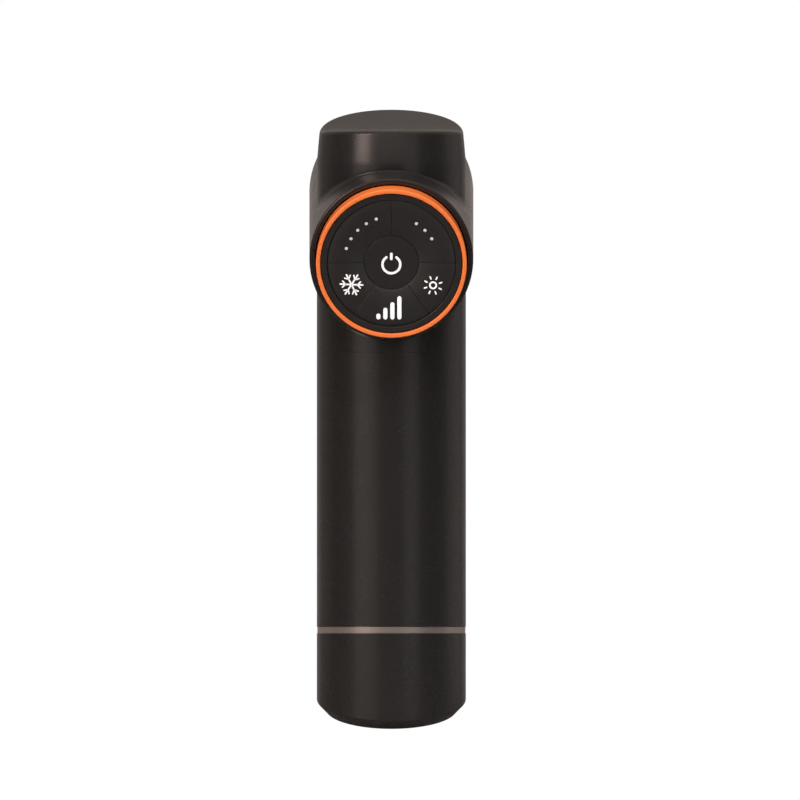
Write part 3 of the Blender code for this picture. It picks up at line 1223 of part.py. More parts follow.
def cold_stack():
    """Thermoelectric module in its gasket, under the metal contact plate."""
    size = (COOLER_SIDE, COOLER_THICKNESS, COOLER_SIDE)
    module = boxes("peltier_module", [(size, (0, COOLER_REAR + COOLER_THICKNESS / 2, 0))])
    finish(module, CERAMIC, barrel_frame)
    outer = HEAD_BORE - FIT_GAP
    gasket = ring(outer, outer - GASKET_WIDTH, COOLER_REAR, COOLER_REAR + COOLER_THICKNESS)
    gasket = turned("plate_gasket", gasket, ROUND_PIECE_STEPS)
    corners = COOLER_SIDE + 2 * FIT_GAP
    clear_size = (corners, COOLER_THICKNESS * 2, corners)
    clear_middle = (0, COOLER_REAR + COOLER_THICKNESS / 2, 0)
    cut(gasket, as_cutter(boxes("gasket_corners", [(clear_size, clear_middle)]), barrel_frame))
    on_barrel(gasket, RUBBER)
    front = CONTACT_REAR + PLATE_LIP
    corner = (HEAD_RADIUS - PLATE_EDGE_ROUND, front - PLATE_EDGE_ROUND)
    profile = [(0, front + PLATE_DOME), (corner[0] / 2, front + PLATE_DOME)]
    profile += arc(corner, PLATE_EDGE_ROUND, math.pi / 2, 0, ROUND_STEPS)
    profile += [(HEAD_RADIUS, CONTACT_REAR), (0, CONTACT_REAR)]
    on_barrel(turned("contact_plate", profile, ROUND_PIECE_STEPS), ALUMINIUM)


front_collar()
shaft_seal()
head_body()
fan()
heat_sink()
cold_stack()
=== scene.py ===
import math

import bmesh
import bpy
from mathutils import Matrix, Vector


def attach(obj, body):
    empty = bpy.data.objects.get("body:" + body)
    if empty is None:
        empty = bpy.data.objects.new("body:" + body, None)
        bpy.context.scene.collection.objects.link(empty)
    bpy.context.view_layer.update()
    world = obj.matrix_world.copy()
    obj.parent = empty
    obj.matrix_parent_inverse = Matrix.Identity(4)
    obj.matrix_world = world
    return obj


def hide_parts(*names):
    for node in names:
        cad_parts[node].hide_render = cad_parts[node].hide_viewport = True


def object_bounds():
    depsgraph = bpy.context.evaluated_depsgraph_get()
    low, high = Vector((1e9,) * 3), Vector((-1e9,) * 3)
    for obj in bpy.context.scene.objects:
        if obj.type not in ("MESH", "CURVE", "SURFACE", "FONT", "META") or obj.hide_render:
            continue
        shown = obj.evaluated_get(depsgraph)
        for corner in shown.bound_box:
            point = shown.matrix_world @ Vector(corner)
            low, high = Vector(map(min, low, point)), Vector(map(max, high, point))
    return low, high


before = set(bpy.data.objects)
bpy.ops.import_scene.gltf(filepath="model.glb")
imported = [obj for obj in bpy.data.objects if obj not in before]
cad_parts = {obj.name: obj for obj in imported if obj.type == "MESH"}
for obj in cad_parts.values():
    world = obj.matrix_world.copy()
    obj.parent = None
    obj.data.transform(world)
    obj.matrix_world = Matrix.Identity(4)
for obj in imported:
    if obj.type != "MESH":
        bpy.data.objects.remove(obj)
cad_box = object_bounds()


# The studio
# A round white table in a white room, seen square from behind without perspective. Soft
# boxes stand left, right and far right and hang above. The lower half of the room towards
# the camera is unlit, so that the dark shell mirrors only the boxes there.

STUDIO_AIM = Vector((0, 0, 0.10))
CAMERA_PLACE = (0.00278, -3.0, 0.09975)
FRAME_WIDTH = 0.2576
TABLE_RADIUS = 0.34
TABLE_DROP = 0.0002


def linear(hex_colour):
    """The linear colour of an sRGB hex value, fully opaque."""
    shares = [int(hex_colour[i:i + 2], 16) / 255 for i in (1, 3, 5)]
    return (*(s / 12.92 if s <= 0.04045 else ((s + 0.055) / 1.055) ** 2.4 for s in shares), 1)


def fill(node, inputs):
    """Link or fill some inputs of a node."""
    for name, value in inputs.items():
        if isinstance(value, bpy.types.NodeSocket):
            node.id_data.links.new(value, node.inputs[name])
        else:
            node.inputs[name].default_value = value
    return node


def add(tree, kind, inputs=None, **settings):
    """Add one node with its own settings, and fill or link its inputs."""
    made = tree.nodes.new(kind)
    for name, value in settings.items():
        setattr(made, name, value)
    return fill(made, inputs or {})


def sum_of(tree, operation, first, second):
    """The result of a sum on two sockets or numbers."""
    return add(tree, "ShaderNodeMath", {0: first, 1: second}, operation=operation).outputs["Value"]


def climb(tree, value, low, high, top):
    """A share that climbs smoothly from 0 to its top while a value goes from low to high."""
    return add(tree, "ShaderNodeMapRange", {
        "Value": value, "From Min": low, "From Max": high, "To Max": top,
    }, interpolation_type="SMOOTHSTEP").outputs["Result"]


def mixed(tree, share, first, second, kind="RGBA"):
    """One colour, or one number, from two by a share."""
    socket = 6 if kind == "RGBA" else 2
    inputs = {"Factor": share, socket: first, socket + 1: second}
    return add(tree, "ShaderNodeMix", inputs, data_type=kind).outputs["Result"]


def placed(name, data):
    """A new object, linked into the scene."""
    obj = bpy.data.objects.new(name, data)
    bpy.context.scene.collection.objects.link(obj)
    return obj


def soft_box(name, azimuth, elevation, distance, width, height, brightness, colour):
    """A soft box of one brightness, where 1 is white, at an azimuth right of the camera."""
    turn, lift = math.radians(azimuth), math.radians(elevation)
    away = Vector((math.sin(turn) * math.cos(lift), -math.cos(turn) * math.cos(lift), math.sin(lift)))
    data = bpy.data.lights.new(name, "AREA")
    data.shape = "RECTANGLE"
    data.size = width
    data.size_y = height
    data.energy = brightness * math.pi * width * height
    data.color = linear(colour)[:3]
    lamp = placed(name, data)
    lamp.location = STUDIO_AIM + away * distance
    lamp.rotation_euler = away.to_track_quat("Z", "Y").to_euler()
    lamp.visible_camera = False
    return lamp


soft_box("key_box_wide", -41, 4, 2.2, 1.55, 2.4, 0.40, "#FFF9F4")
soft_box("key_box_high", -46, 25, 2.2, 0.80, 1.25, 5.7, "#FFE3D6")
soft_box("fill_box", 31, 4, 2.2, 0.90, 2.4, 0.40, "#FFFAF6")
soft_box("top_box", 0, 21, 3.0, 1.9, 0.9, 1.05, "#FFF9F4")
soft_box("rim_box", 114, 4, 2.2, 1.3, 2.4, 0.17, "#FFF9F4")
soft_box("ceiling_box", 0, 68, 2.4, 2.4, 1.6, 6.0, "#FFFFFF").visible_glossy = False

camera_data = bpy.data.cameras.new("back_camera")
camera_data.type = "ORTHO"
camera_data.ortho_scale = FRAME_WIDTH
camera = placed("back_camera", camera_data)
camera.location = CAMERA_PLACE
camera.rotation_euler = (math.radians(90), 0, 0)
bpy.context.scene.camera = camera
bpy.context.scene.view_settings.view_transform = "Standard"

world = bpy.data.worlds.new("white_room")
bpy.context.scene.world = world
world.use_nodes = True
room = world.node_tree
room.nodes.clear()
ray = add(room, "ShaderNodeLightPath").outputs
looked_at = sum_of(room, "MAXIMUM", ray["Is Camera Ray"], ray["Is Transmission Ray"])
heading = add(room, "ShaderNodeTexCoord").outputs["Generated"]
compass = add(room, "ShaderNodeSeparateXYZ", {"Vector": heading}).outputs
ahead = add(room, "ShaderNodeVectorMath", {0: heading, 1: (0.19, 0.98, 0)}, operation="DOT_PRODUCT")
far_wall = climb(room, ahead.outputs["Value"], -0.10, 0.36, 0.17)
middle = climb(room, compass["Y"], 0.70, 0.93, 0.12)
upper = climb(room, compass["Z"], 0.02, 0.30, 0.09)
walls = sum_of(room, "ADD", upper, sum_of(room, "ADD", far_wall, middle))
backdrop = climb(room, compass["Y"], 0.985, 1.0, 1.0)
ceiling = climb(room, compass["Z"], 0.60, 0.95, 0.50)
around = sum_of(room, "MAXIMUM", sum_of(room, "MAXIMUM", backdrop, ceiling), walls)
mirrored = mixed(room, ray["Is Glossy Ray"], 0.30, around, "FLOAT")
tint = mixed(room, ray["Is Glossy Ray"], (1, 1, 1, 1), linear("#FFEEE6"))
sky = add(room, "ShaderNodeBackground", {
    "Color": tint, "Strength": mixed(room, looked_at, mirrored, 1.0, "FLOAT"),
})
add(room, "ShaderNodeOutputWorld", {"Surface": sky.outputs["Background"]})

bm = bmesh.new()
bmesh.ops.create_circle(bm, cap_ends=True, segments=128, radius=TABLE_RADIUS)
table_mesh = bpy.data.meshes.new("table_top")
bm.to_mesh(table_mesh)
bm.free()
table_top = placed("table_top", table_mesh)
table_top.location = (0, 0, cad_box[0].z - TABLE_DROP)

# White laminate: matt, and lifted to the eye so that the table runs into the backdrop.
laminate = bpy.data.materials.new("matt_white_laminate")
laminate.use_nodes = True
tree = laminate.node_tree
tree.nodes.clear()
ray = add(tree, "ShaderNodeLightPath").outputs
pale = add(tree, "ShaderNodeBsdfDiffuse", {"Color": linear("#EDEDEC")})
shown = sum_of(tree, "MAXIMUM", ray["Is Camera Ray"], ray["Is Transmission Ray"])
glow = add(tree, "ShaderNodeEmission", {
    "Color": (1, 1, 1, 1), "Strength": sum_of(tree, "MULTIPLY", shown, 0.45),
})
bright = add(tree, "ShaderNodeAddShader", {0: pale.outputs["BSDF"], 1: glow.outputs["Emission"]})
dim = add(tree, "ShaderNodeEmission", {"Color": linear("#FFEEE6"), "Strength": 0.10})
both = add(tree, "ShaderNodeMixShader", {
    "Fac": ray["Is Glossy Ray"], 1: bright.outputs["Shader"], 2: dim.outputs["Emission"],
})
add(tree, "ShaderNodeOutputMaterial", {"Surface": both.outputs["Shader"]})
table_mesh.materials.append(laminate)


# The two head shells
# Upper and lower halves, injection moulded in warm black ABS and screwed together from
# below. The handle's line carries on through the barrel as a turret whose flat top bends
# up into a ramp. The two tubes meet in a fillet, tight behind and wide at the sides.

HANDLE_RADIUS = 0.0240
BARREL_RADIUS = 0.0264
SHELL_WALL = 0.0022
RAKE = math.radians(11.0)
CROSSING = Vector((0, 0, 0.1512059))
BARREL_REAR = 0.0325989
BARREL_FRONT = 0.0811
MOUTH_RADIUS = 0.0247
MOUTH_DEPTH = 0.0262
RIM_ROUND = 0.0008
RIM_INNER_ROUND = 0.00005
SHELL_BORE = 0.0242
FILLET_RADIUS = 0.0004
FILLET_SIDE_RADIUS = 0.0080
FILLET_TUCK = 0.00003
TURRET_TOP = 0.18635
TAPER_START = 0.1757
TAPER_WIDTH = 0.0008
TAPER_POWER = 1.15
RAMP_START = -0.0006
RAMP_SLOPE = 0.304
RAMP_BEND = 0.0016
TURRET_EDGE = 0.0014
PARTING_HEIGHT = 0.0032
PARTING_GAP = 0.00007
PARTING_ROUND = 0.00012
NECK_BOTTOM = 0.11499
NECK_FLOOR = 0.1175
SEAM_ROUND = 0.00008
SPIGOT_RADIUS = 0.0215
SPIGOT_BORE = 0.0197
SPIGOT_LENGTH = 0.0065
SCREW_SIDE = 0.0203
SCREW_PLACES = (0.030, 0.066)
BOSS_RADIUS = 0.0039
WELL_RADIUS = 0.0023
WELL_FLOOR = -0.0078
SHANK_HOLE = 0.0013
SUPPORT = 0.00025
HOOP_STEPS = 96
BEND_STEPS = 8
REAR_ROWS = 4
FRONT_ROWS = 12
TURRET_ROWS = 14
NECK_ROWS = 8
FILLET_ROUNDS = 4
HALVINGS = 40
SIDE_REACH = 0.010
WIDEST_EDGE = 0.2
BEND_MIDDLE = 0.3
RAMP_SHARES = (0.985, 0.95, 0.88, 0.78, 0.65, 0.5, 0.35, 0.2, 0.08, 0)
SHORT = 0.000002
UP = Vector((0, -math.sin(RAKE), math.cos(RAKE)))
FORWARD = Vector((0, math.cos(RAKE), math.sin(RAKE)))
CORNER_HEIGHT = TURRET_TOP - TURRET_EDGE


def in_barrel(across, up, along):
    """A world point from its place across, up from and along the barrel's axis."""
    return CROSSING + Vector((across, 0, 0)) + UP * up + FORWARD * along


def around_barrel(angle, radius, along):
    return in_barrel(radius * math.cos(angle), radius * math.sin(angle), along)


def around_handle(angle, radius, height):
    return Vector((radius * math.cos(angle), radius * math.sin(angle), height))


def quarter(steps):
    """Sine and cosine at even steps through a quarter turn."""
    turns = [math.pi / 2 * i / steps for i in range(steps + 1)]
    return [(math.sin(turn), math.cos(turn)) for turn in turns]


def rise(y):
    """How far the turret's top has climbed: flat behind, then bent up into a straight ramp."""
    past = y - RAMP_START
    return RAMP_SLOPE * (past + math.hypot(past, RAMP_BEND)) / 2


def spread(length, count):
    """Shares from 0 to 1 with a short step beside each end, so that bends stay tight."""
    edge = min(SUPPORT / max(length, SHORT), WIDEST_EDGE)
    return [0, edge] + [edge + (1 - 2 * edge) * i / count for i in range(1, count)] + [1 - edge, 1]


# Every point of a shell is a pair, the outer face and the lining behind it.

def barrel_pair(angle, radius, along):
    lining = around_barrel(angle, SHELL_BORE, max(along, -MOUTH_DEPTH))
    return around_barrel(angle, radius, along), lining


def barrel_line(angle, start, end, count, drop=0.0):
    return [
        barrel_pair(angle, BARREL_RADIUS - drop, start + (end - start) * share)
        for share in spread(abs(end - start), count)
    ]


def rear_end(angle, drop=0.0):
    """The barrel's rear end at one angle, from inside its mouth out over the rim."""
    points = [(MOUTH_RADIUS, -MOUTH_DEPTH), (MOUTH_RADIUS, RIM_INNER_ROUND * 3 - BARREL_REAR)]
    for sine, cosine in quarter(3):
        radius = MOUTH_RADIUS + RIM_INNER_ROUND * (1 - cosine)
        points.append((radius, RIM_INNER_ROUND * (1 - sine) - BARREL_REAR))
    for sine, cosine in quarter(BEND_STEPS):
        points.append((BARREL_RADIUS - RIM_ROUND * (1 - sine), RIM_ROUND * (1 - cosine) - BARREL_REAR))
    return [barrel_pair(angle, radius - drop, along) for radius, along in points]


def front_end(angle, drop=0.0):
    """The barrel's eased front edge at one angle, from its face out."""
    points = [(BARREL_RADIUS - SEAM_ROUND, BARREL_FRONT), (BARREL_RADIUS, BARREL_FRONT - SEAM_ROUND)]
    return [barrel_pair(angle, radius - drop, along) for radius, along in points]


def fillet_arc(azimuth, side):
    """The fillet from the barrel to the turret or neck where it passes one azimuth."""
    wall = HANDLE_RADIUS
    bend = FILLET_RADIUS + (FILLET_SIDE_RADIUS - FILLET_RADIUS) * math.cos(azimuth) ** 4
    for _ in range(FILLET_ROUNDS):
        reach = wall - FILLET_TUCK + bend
        x, y = reach * math.cos(azimuth), reach * math.sin(azimuth)
        from_axis = BARREL_RADIUS - FILLET_TUCK + bend
        lift = side * math.sqrt(from_axis ** 2 - x ** 2)
        z = CROSSING.z + (lift + y * math.sin(RAKE)) / math.cos(RAKE)
        share = (z - TAPER_START) / (CORNER_HEIGHT - TAPER_START + rise(y))
        wall = HANDLE_RADIUS - TAPER_WIDTH * min(max(share, 0), 1) ** TAPER_POWER
    centre = Vector((x, y, z))
    to_barrel = -(Vector((x, 0, 0)) + UP * lift).normalized()
    to_turret = -Vector((x, y, 0)).normalized()
    pairs = []
    for i in range(BEND_STEPS + 1):
        out = to_barrel.slerp(to_turret, i / BEND_STEPS)
        pairs.append((centre + out * (bend + FILLET_TUCK), centre + out * (bend + SHELL_WALL)))
    return pairs


def turret_wall(azimuth, foot):
    """From the fillet up the turret's wall, over its edge and in to the ramp's middle."""
    ahead = math.sin(azimuth)
    height = CORNER_HEIGHT - TAPER_START + rise(HANDLE_RADIUS * ahead)
    low = (foot.z - TAPER_START) / height
    points = []
    for step in spread(height, TURRET_ROWS)[1:]:
        share = low + (1 - low) * step
        radius = HANDLE_RADIUS - TAPER_WIDTH * max(share, 0) ** TAPER_POWER
        wall = CORNER_HEIGHT - TAPER_START + rise(radius * ahead)
        points.append((radius, TAPER_START + share * wall))
    top = HANDLE_RADIUS - TAPER_WIDTH
    middle = top - TURRET_EDGE
    for sine, cosine in quarter(BEND_STEPS)[1:]:
        radius = middle + TURRET_EDGE * cosine
        points.append((radius, CORNER_HEIGHT + TURRET_EDGE * sine + rise(radius * ahead)))
    for share in RAMP_SHARES:
        points.append((middle * share, TURRET_TOP + rise(middle * share * ahead)))
    pairs = []
    for radius, height in points:
        inner = min(radius, top) * (1 - SHELL_WALL / top)
        roof = min(height, TURRET_TOP - SHELL_WALL + rise(inner * ahead))
        pairs.append((around_handle(azimuth, radius, height), around_handle(azimuth, inner, roof)))
    return pairs


def neck_wall(azimuth, foot):
    """From the fillet down the neck to its eased seam and the spigot inside the sleeve."""
    end = NECK_BOTTOM + SEAM_ROUND
    ease = SEAM_ROUND * BEND_MIDDLE
    points = []
    for share in spread(foot.z - end, NECK_ROWS)[1:]:
        height = foot.z + (end - foot.z) * share
        points.append((HANDLE_RADIUS, height, HANDLE_RADIUS - SHELL_WALL, max(height, NECK_FLOOR)))
    points += [
        (HANDLE_RADIUS - ease, NECK_BOTTOM + ease, SPIGOT_BORE, NECK_FLOOR),
        (HANDLE_RADIUS - SEAM_ROUND, NECK_BOTTOM, SPIGOT_BORE, NECK_FLOOR),
        (SPIGOT_RADIUS, NECK_BOTTOM, SPIGOT_BORE, NECK_BOTTOM),
        (SPIGOT_RADIUS, NECK_BOTTOM - SPIGOT_LENGTH, SPIGOT_BORE, NECK_BOTTOM - SPIGOT_LENGTH),
    ]
    return [
        (around_handle(azimuth, radius, height), around_handle(azimuth, inner, level))
        for radius, height, inner, level in points
    ]


def contact(azimuth, side):
    """Angle round the barrel and place along it where the fillet leaves the barrel."""
    point = fillet_arc(azimuth, side)[0][0] - CROSSING
    return math.atan2(point.dot(UP), point.x), point.dot(FORWARD)


def matched_azimuth(angle, side):
    """The azimuth on the front half whose fillet leaves the barrel at an angle round it."""
    low, high = 0.0, math.pi
    for _ in range(HALVINGS):
        middle = (low + high) / 2
        if side * contact(middle, side)[0] < side * angle:
            low = middle
        else:
            high = middle
    return (low + high) / 2


def head_shell(side):
    """Patches of point pairs for the upper (1) or lower (-1) shell."""
    rears, fronts = [], []
    for i in range(HOOP_STEPS + 1):
        azimuth = -math.pi * i / HOOP_STEPS
        angle, place = contact(azimuth, side)
        ahead = azimuth if i in (0, HOOP_STEPS) else matched_azimuth(angle, side)
        ahead_place = place if i in (0, HOOP_STEPS) else contact(ahead, side)[1]
        for rows, start, end, turn, count in (
            (rears, rear_end(angle), place, azimuth, REAR_ROWS),
            (fronts, front_end(angle), ahead_place, ahead, FRONT_ROWS),
        ):
            at = -BARREL_REAR + RIM_ROUND if rows is rears else BARREL_FRONT - SEAM_ROUND
            arc = fillet_arc(turn, side)
            wall = turret_wall(turn, arc[-1][0]) if side > 0 else neck_wall(turn, arc[-1][0])
            rows.append(start + barrel_line(angle, at, end, count)[1:-1] + arc + wall)
    patches = [rears, fronts]
    for right in (True, False):
        angle, place = contact(0 if right else -math.pi, side)
        if angle < 0 and not right:
            angle += math.tau
        lean = math.asin((PARTING_HEIGHT + side * (PARTING_GAP + PARTING_ROUND)) / BARREL_RADIUS)
        parting = lean if right else math.pi - lean
        steps = [(angle + (parting - angle) * share, 0) for share in spread(SIDE_REACH, FRONT_ROWS)]
        towards = -side if right else side
        for sine, cosine in quarter(3)[1:]:
            reach = PARTING_ROUND * sine / BARREL_RADIUS
            steps.append((parting + towards * reach, PARTING_ROUND * (1 - cosine)))
        rows = []
        for turn, drop in steps:
            row = rear_end(turn, drop)
            row += barrel_line(turn, -BARREL_REAR + RIM_ROUND, place, REAR_ROWS, drop)[1:-1]
            row += barrel_line(turn, place, BARREL_FRONT - SEAM_ROUND, FRONT_ROWS, drop)
            rows.append(row + front_end(turn, drop)[::-1][1:])
        patches.append(rows)
    return patches


def smoothed(obj, crease=32):
    """Smooth shading that keeps every edge sharper than the crease angle."""
    obj.data.shade_smooth()
    obj.data.set_sharp_from_angle(angle=math.radians(crease))
    return obj


def as_object(name, bm):
    """A named object from finished mesh work, with its faces turned outwards."""
    bmesh.ops.remove_doubles(bm, verts=bm.verts, dist=SHORT)
    bmesh.ops.dissolve_degenerate(bm, edges=bm.edges, dist=SHORT)
    bmesh.ops.recalc_face_normals(bm, faces=bm.faces)
    mesh = bpy.data.meshes.new(name)
    bm.to_mesh(mesh)
    bm.free()
    return smoothed(placed(name, mesh))


def weave(bm, rows):
    """Faces between neighbouring points of neighbouring rows."""
    for near, far in zip(rows, rows[1:]):
        for j in range(len(near) - 1):
            bm.faces.new((near[j], near[j + 1], far[j + 1], far[j]))


def skinned(name, patches):
    """One mesh from patches of points that share their edges."""
    bm = bmesh.new()
    for rows in patches:
        weave(bm, [[bm.verts.new(point) for point in row] for row in rows])
    return as_object(name, bm)


def walled(name, patches):
    """A closed shell from patches of point pairs: outer face, lining and the edges between."""
    bm = bmesh.new()
    lining = bm.verts.layers.float_vector.new("lining")
    for rows in patches:
        grid = []
        for row in rows:
            grid.append([bm.verts.new(outer) for outer, _ in row])
            for vertex, (_, inner) in zip(grid[-1], row):
                vertex[lining] = inner
        weave(bm, grid)
    bmesh.ops.remove_doubles(bm, verts=bm.verts, dist=SHORT)
    twins = {vertex: bm.verts.new(vertex[lining]) for vertex in list(bm.verts)}
    rims = [edge.verts[:] for edge in bm.edges if edge.is_boundary]
    for face in list(bm.faces):
        bm.faces.new([twins[vertex] for vertex in reversed(face.verts)])
    for first, second in rims:
        bm.faces.new((first, second, twins[second], twins[first]))
    return as_object(name, bm)


def prism(name, outlines, low, high, place):
    """Straight-sided solids over flat outlines, their points laid by a placing function."""
    bm = bmesh.new()
    for outline in outlines:
        ends = [[bm.verts.new(place(*point, level)) for point in outline] for level in (low, high)]
        for i in range(len(outline)):
            j = (i + 1) % len(outline)
            bm.faces.new((ends[0][i], ends[0][j], ends[1][j], ends[1][i]))
        bm.faces.new(ends[0])
        bm.faces.new(ends[1])
    return as_object(name, bm)


def worked(obj, tool, operation):
    """One solid joined with, cut by or kept within another, which is used up."""
    step = obj.modifiers.new(operation, "BOOLEAN")
    step.object = tool
    step.operation = operation
    step.solver = "EXACT"
    step.use_self = True
    bpy.context.view_layer.update()
    ready = obj.evaluated_get(bpy.context.evaluated_depsgraph_get())
    mesh = bpy.data.meshes.new_from_object(ready)
    obj.modifiers.clear()
    spent = obj.data
    obj.data = mesh
    bpy.data.meshes.remove(spent)
    bpy.data.objects.remove(tool)
    return smoothed(obj)


def cut(obj, outlines, low, high, place):
    """A solid with straight-sided holes over some outlines."""
    return worked(obj, prism("cutter", outlines, low, high, place), "DIFFERENCE")


def hoop(radius, centre=(0, 0), steps=48):
    """A round outline."""
    turns = [math.tau * i / steps for i in range(steps)]
    return [(centre[0] + radius * math.cos(t), centre[1] + radius * math.sin(t)) for t in turns]


def upright(across, along, up):
    """A barrel place for an outline that lies flat and is raised upwards."""
    return in_barrel(across, up, along)


def fit(obj, nodes, material, body="massager_body"):
    """Give a piece its finish, let it ride on its body and stand for its CAD nodes."""
    obj.data.materials.clear()
    obj.data.materials.append(material)
    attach(obj, body)
    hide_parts(*nodes)
    return obj


def finish_of(name, low, high, gloss, drift_mm, grain_mm, depth_mm, stretch=(1, 1, 1), **sockets):
    """A surface of two close shades that drift over it, with uneven gloss and a fine grain."""
    material = bpy.data.materials.new(name)
    material.use_nodes = True
    tree = material.node_tree
    place = add(tree, "ShaderNodeTexCoord").outputs["Object"]
    drift = add(tree, "ShaderNodeTexNoise", {
        "Vector": place, "Scale": 1000 / drift_mm, "Detail": 4.0, "Roughness": 0.55,
    })
    wipe = add(tree, "ShaderNodeTexNoise", {
        "Vector": place, "Scale": 1000 / (drift_mm * 0.35), "Detail": 3.0, "Distortion": 0.6,
    })
    uneven = add(tree, "ShaderNodeMapRange", {
        "Value": wipe.outputs["Fac"], "From Min": 0.3, "From Max": 0.7,
        "To Min": gloss - 0.02, "To Max": gloss + 0.03,
    })
    drawn = add(tree, "ShaderNodeMapping", {"Vector": place, "Scale": stretch})
    grain = add(tree, "ShaderNodeTexNoise", {
        "Vector": drawn.outputs["Vector"], "Scale": 1000 / grain_mm, "Detail": 2.0, "Roughness": 0.6,
    })
    bump = add(tree, "ShaderNodeBump", {
        "Height": grain.outputs["Fac"], "Strength": 1.0, "Distance": depth_mm / 1000,
    })
    fill(tree.nodes["Principled BSDF"], {
        "Base Color": mixed(tree, drift.outputs["Fac"], linear(low), linear(high)),
        "Roughness": uneven.outputs["Result"], "Normal": bump.outputs["Normal"],
        **{socket.replace("_", " "): value for socket, value in sockets.items()},
    })
    return material


# Moulded ABS, finely spark-eroded mould: near black with a warm cast and a soft sheen.
# The real grain is about 0.1 mm, drawn at 0.5 mm so that it breaks the sheen at this size.
BLACK_ABS = finish_of(
    "moulded_black_abs", "#201E1D", "#242221", 0.26, 30.0, 0.5, 0.0005, IOR=1.5,
)

fit(walled("upper_shell", head_shell(1)), ["upper_housing"], BLACK_ABS)

lower_shell = walled("lower_shell", head_shell(-1))
screw_spots = [(side * SCREW_SIDE, place) for side in (-1, 1) for place in SCREW_PLACES]
bosses = prism("screw_bosses", [hoop(BOSS_RADIUS, spot) for spot in screw_spots], -BARREL_RADIUS,
               PARTING_HEIGHT - PARTING_GAP, upright)
core = prism("barrel_core", [hoop((SHELL_BORE + BARREL_RADIUS) / 2, steps=96)], 0, BARREL_FRONT,
             in_barrel)
lower_shell = worked(lower_shell, worked(bosses, core, "INTERSECT"), "UNION")
for radius, low, high in (
    (WELL_RADIUS, -2 * BARREL_RADIUS, WELL_FLOOR), (SHANK_HOLE, 2 * WELL_FLOOR, 2 * PARTING_HEIGHT),
):
    lower_shell = cut(lower_shell, [hoop(radius, spot) for spot in screw_spots], low, high, upright)
fit(lower_shell, ["lower_housing"], BLACK_ABS)


# The handle sleeve
# A plain round tube of the same warm black ABS, pushed over the neck's spigot above and
# the cap's below. Its ends are eased, which leaves a fine dark seam at each joint.

SLEEVE_BOTTOM = 0.02671
SLEEVE_TOP = 0.1150
HANDLE_BORE = 0.0218


def eased(corners):
    """A closed outline of (radius, height, rounding) corners with its roundings drawn."""
    points = []
    for i, (radius, height, rounding) in enumerate(corners):
        corner = Vector((radius, height))
        if not rounding:
            points.append(corner)
            continue
        back = Vector(corners[i - 1][:2]) - corner
        on = Vector(corners[(i + 1) % len(corners)][:2]) - corner
        half = back.angle(on) / 2
        reach = rounding / math.tan(half)
        back_way, on_way = back.normalized(), on.normalized()
        centre = corner + (back_way + on_way).normalized() * rounding / math.sin(half)
        start = (corner + back_way * reach - centre).normalized()
        end = (corner + on_way * reach - centre).normalized()
        points.append(corner + back_way * min(reach + SUPPORT, (reach + back.length) / 2))
        for step in range(BEND_STEPS + 1):
            points.append(centre + start.slerp(end, step / BEND_STEPS) * rounding)
        points.append(corner + on_way * min(reach + SUPPORT, (reach + on.length) / 2))
    return points


def turned(name, corners, around, steps=2 * HOOP_STEPS):
    """A piece turned about the handle's or the barrel's axis from one closed outline."""
    outline = eased(corners)
    outline.append(outline[0])
    return skinned(name, [[
        [around(math.tau * i / steps, radius, height) for radius, height in outline]
        for i in range(steps + 1)
    ]])


sleeve = turned("handle_tube", [
    (HANDLE_RADIUS, SLEEVE_BOTTOM, SEAM_ROUND), (HANDLE_RADIUS, SLEEVE_TOP, SEAM_ROUND),
    (HANDLE_BORE, SLEEVE_TOP, 0), (HANDLE_BORE, SLEEVE_BOTTOM, 0),
], around_handle)
fit(sleeve, ["handle_sleeve"], BLACK_ABS)


# The trim band
# A thin aluminium hoop between sleeve and cap, anodised a warm taupe. It is turned on a
# lathe and clamped between the two, a hair inside them.

BAND_RADIUS = 0.02385
BAND_BOTTOM = 0.02458
BAND_TOP = 0.02672

# Turned, then anodised: a satin taupe metal with fine lines running round the hoop. The
# lines are about 0.05 mm apart, drawn at 0.2 mm so that they show.
TAUPE_ALUMINIUM = finish_of(
    "taupe_anodised_aluminium", "#A3968F", "#ADA099", 0.30, 20.0, 0.2, 0.002,
    stretch=(0.02, 0.02, 1), Metallic=0.75,
)
band = turned("taupe_band", [
    (BAND_RADIUS, BAND_BOTTOM, SEAM_ROUND), (BAND_RADIUS, BAND_TOP, SEAM_ROUND),
    (HANDLE_BORE, BAND_TOP, 0), (HANDLE_BORE, BAND_BOTTOM, 0),
], around_handle)
fit(band, ["trim_band"], TAUPE_ALUMINIUM)


# The bottom cap
# The lower end of the handle, moulded in the shell's ABS with a base cut off obliquely
# and a chamfer all round it. It is screwed up into the cell holder, and has the hole for
# the charging socket at the front.

CAP_TOP = 0.02459
CAP_FLOOR = 0.0024
CAP_SPIGOT_TOP = 0.0309
CHAMFER_WIDTH = 0.0031
CHAMFER_HEIGHT = 0.0033
CHAMFER_TOP_ROUND = 0.0008
BASE_ROUND = 0.0003
BASE_TILT = math.radians(16.5)
TILT_FULL_BELOW = 0.0060
INLET_HEIGHT = 0.0130
INLET_WIDTH = 0.0096
INLET_DEPTH = 0.0039
INLET_INNER = 0.0170
INLET_OUTER = 0.0260
INLET_STEPS = 16


def around_cap(angle, radius, height):
    """A point of the cap, whose lower end is sheared to the slope of the base."""
    point = around_handle(angle, radius, height)
    share = min(max((CAP_TOP - height) / (CAP_TOP - TILT_FULL_BELOW), 0), 1)
    point.z += point.y * math.tan(BASE_TILT) * share
    return point


def round_ended(width, depth, steps):
    """The outline of a slot with two round ends, about its middle."""
    radius = depth / 2
    points = []
    for side in (1, -1):
        for i in range(steps + 1):
            turn = math.pi * (i / steps - 0.5)
            across = width / 2 - radius + radius * math.cos(turn)
            points.append((side * across, side * radius * math.sin(turn)))
    return points


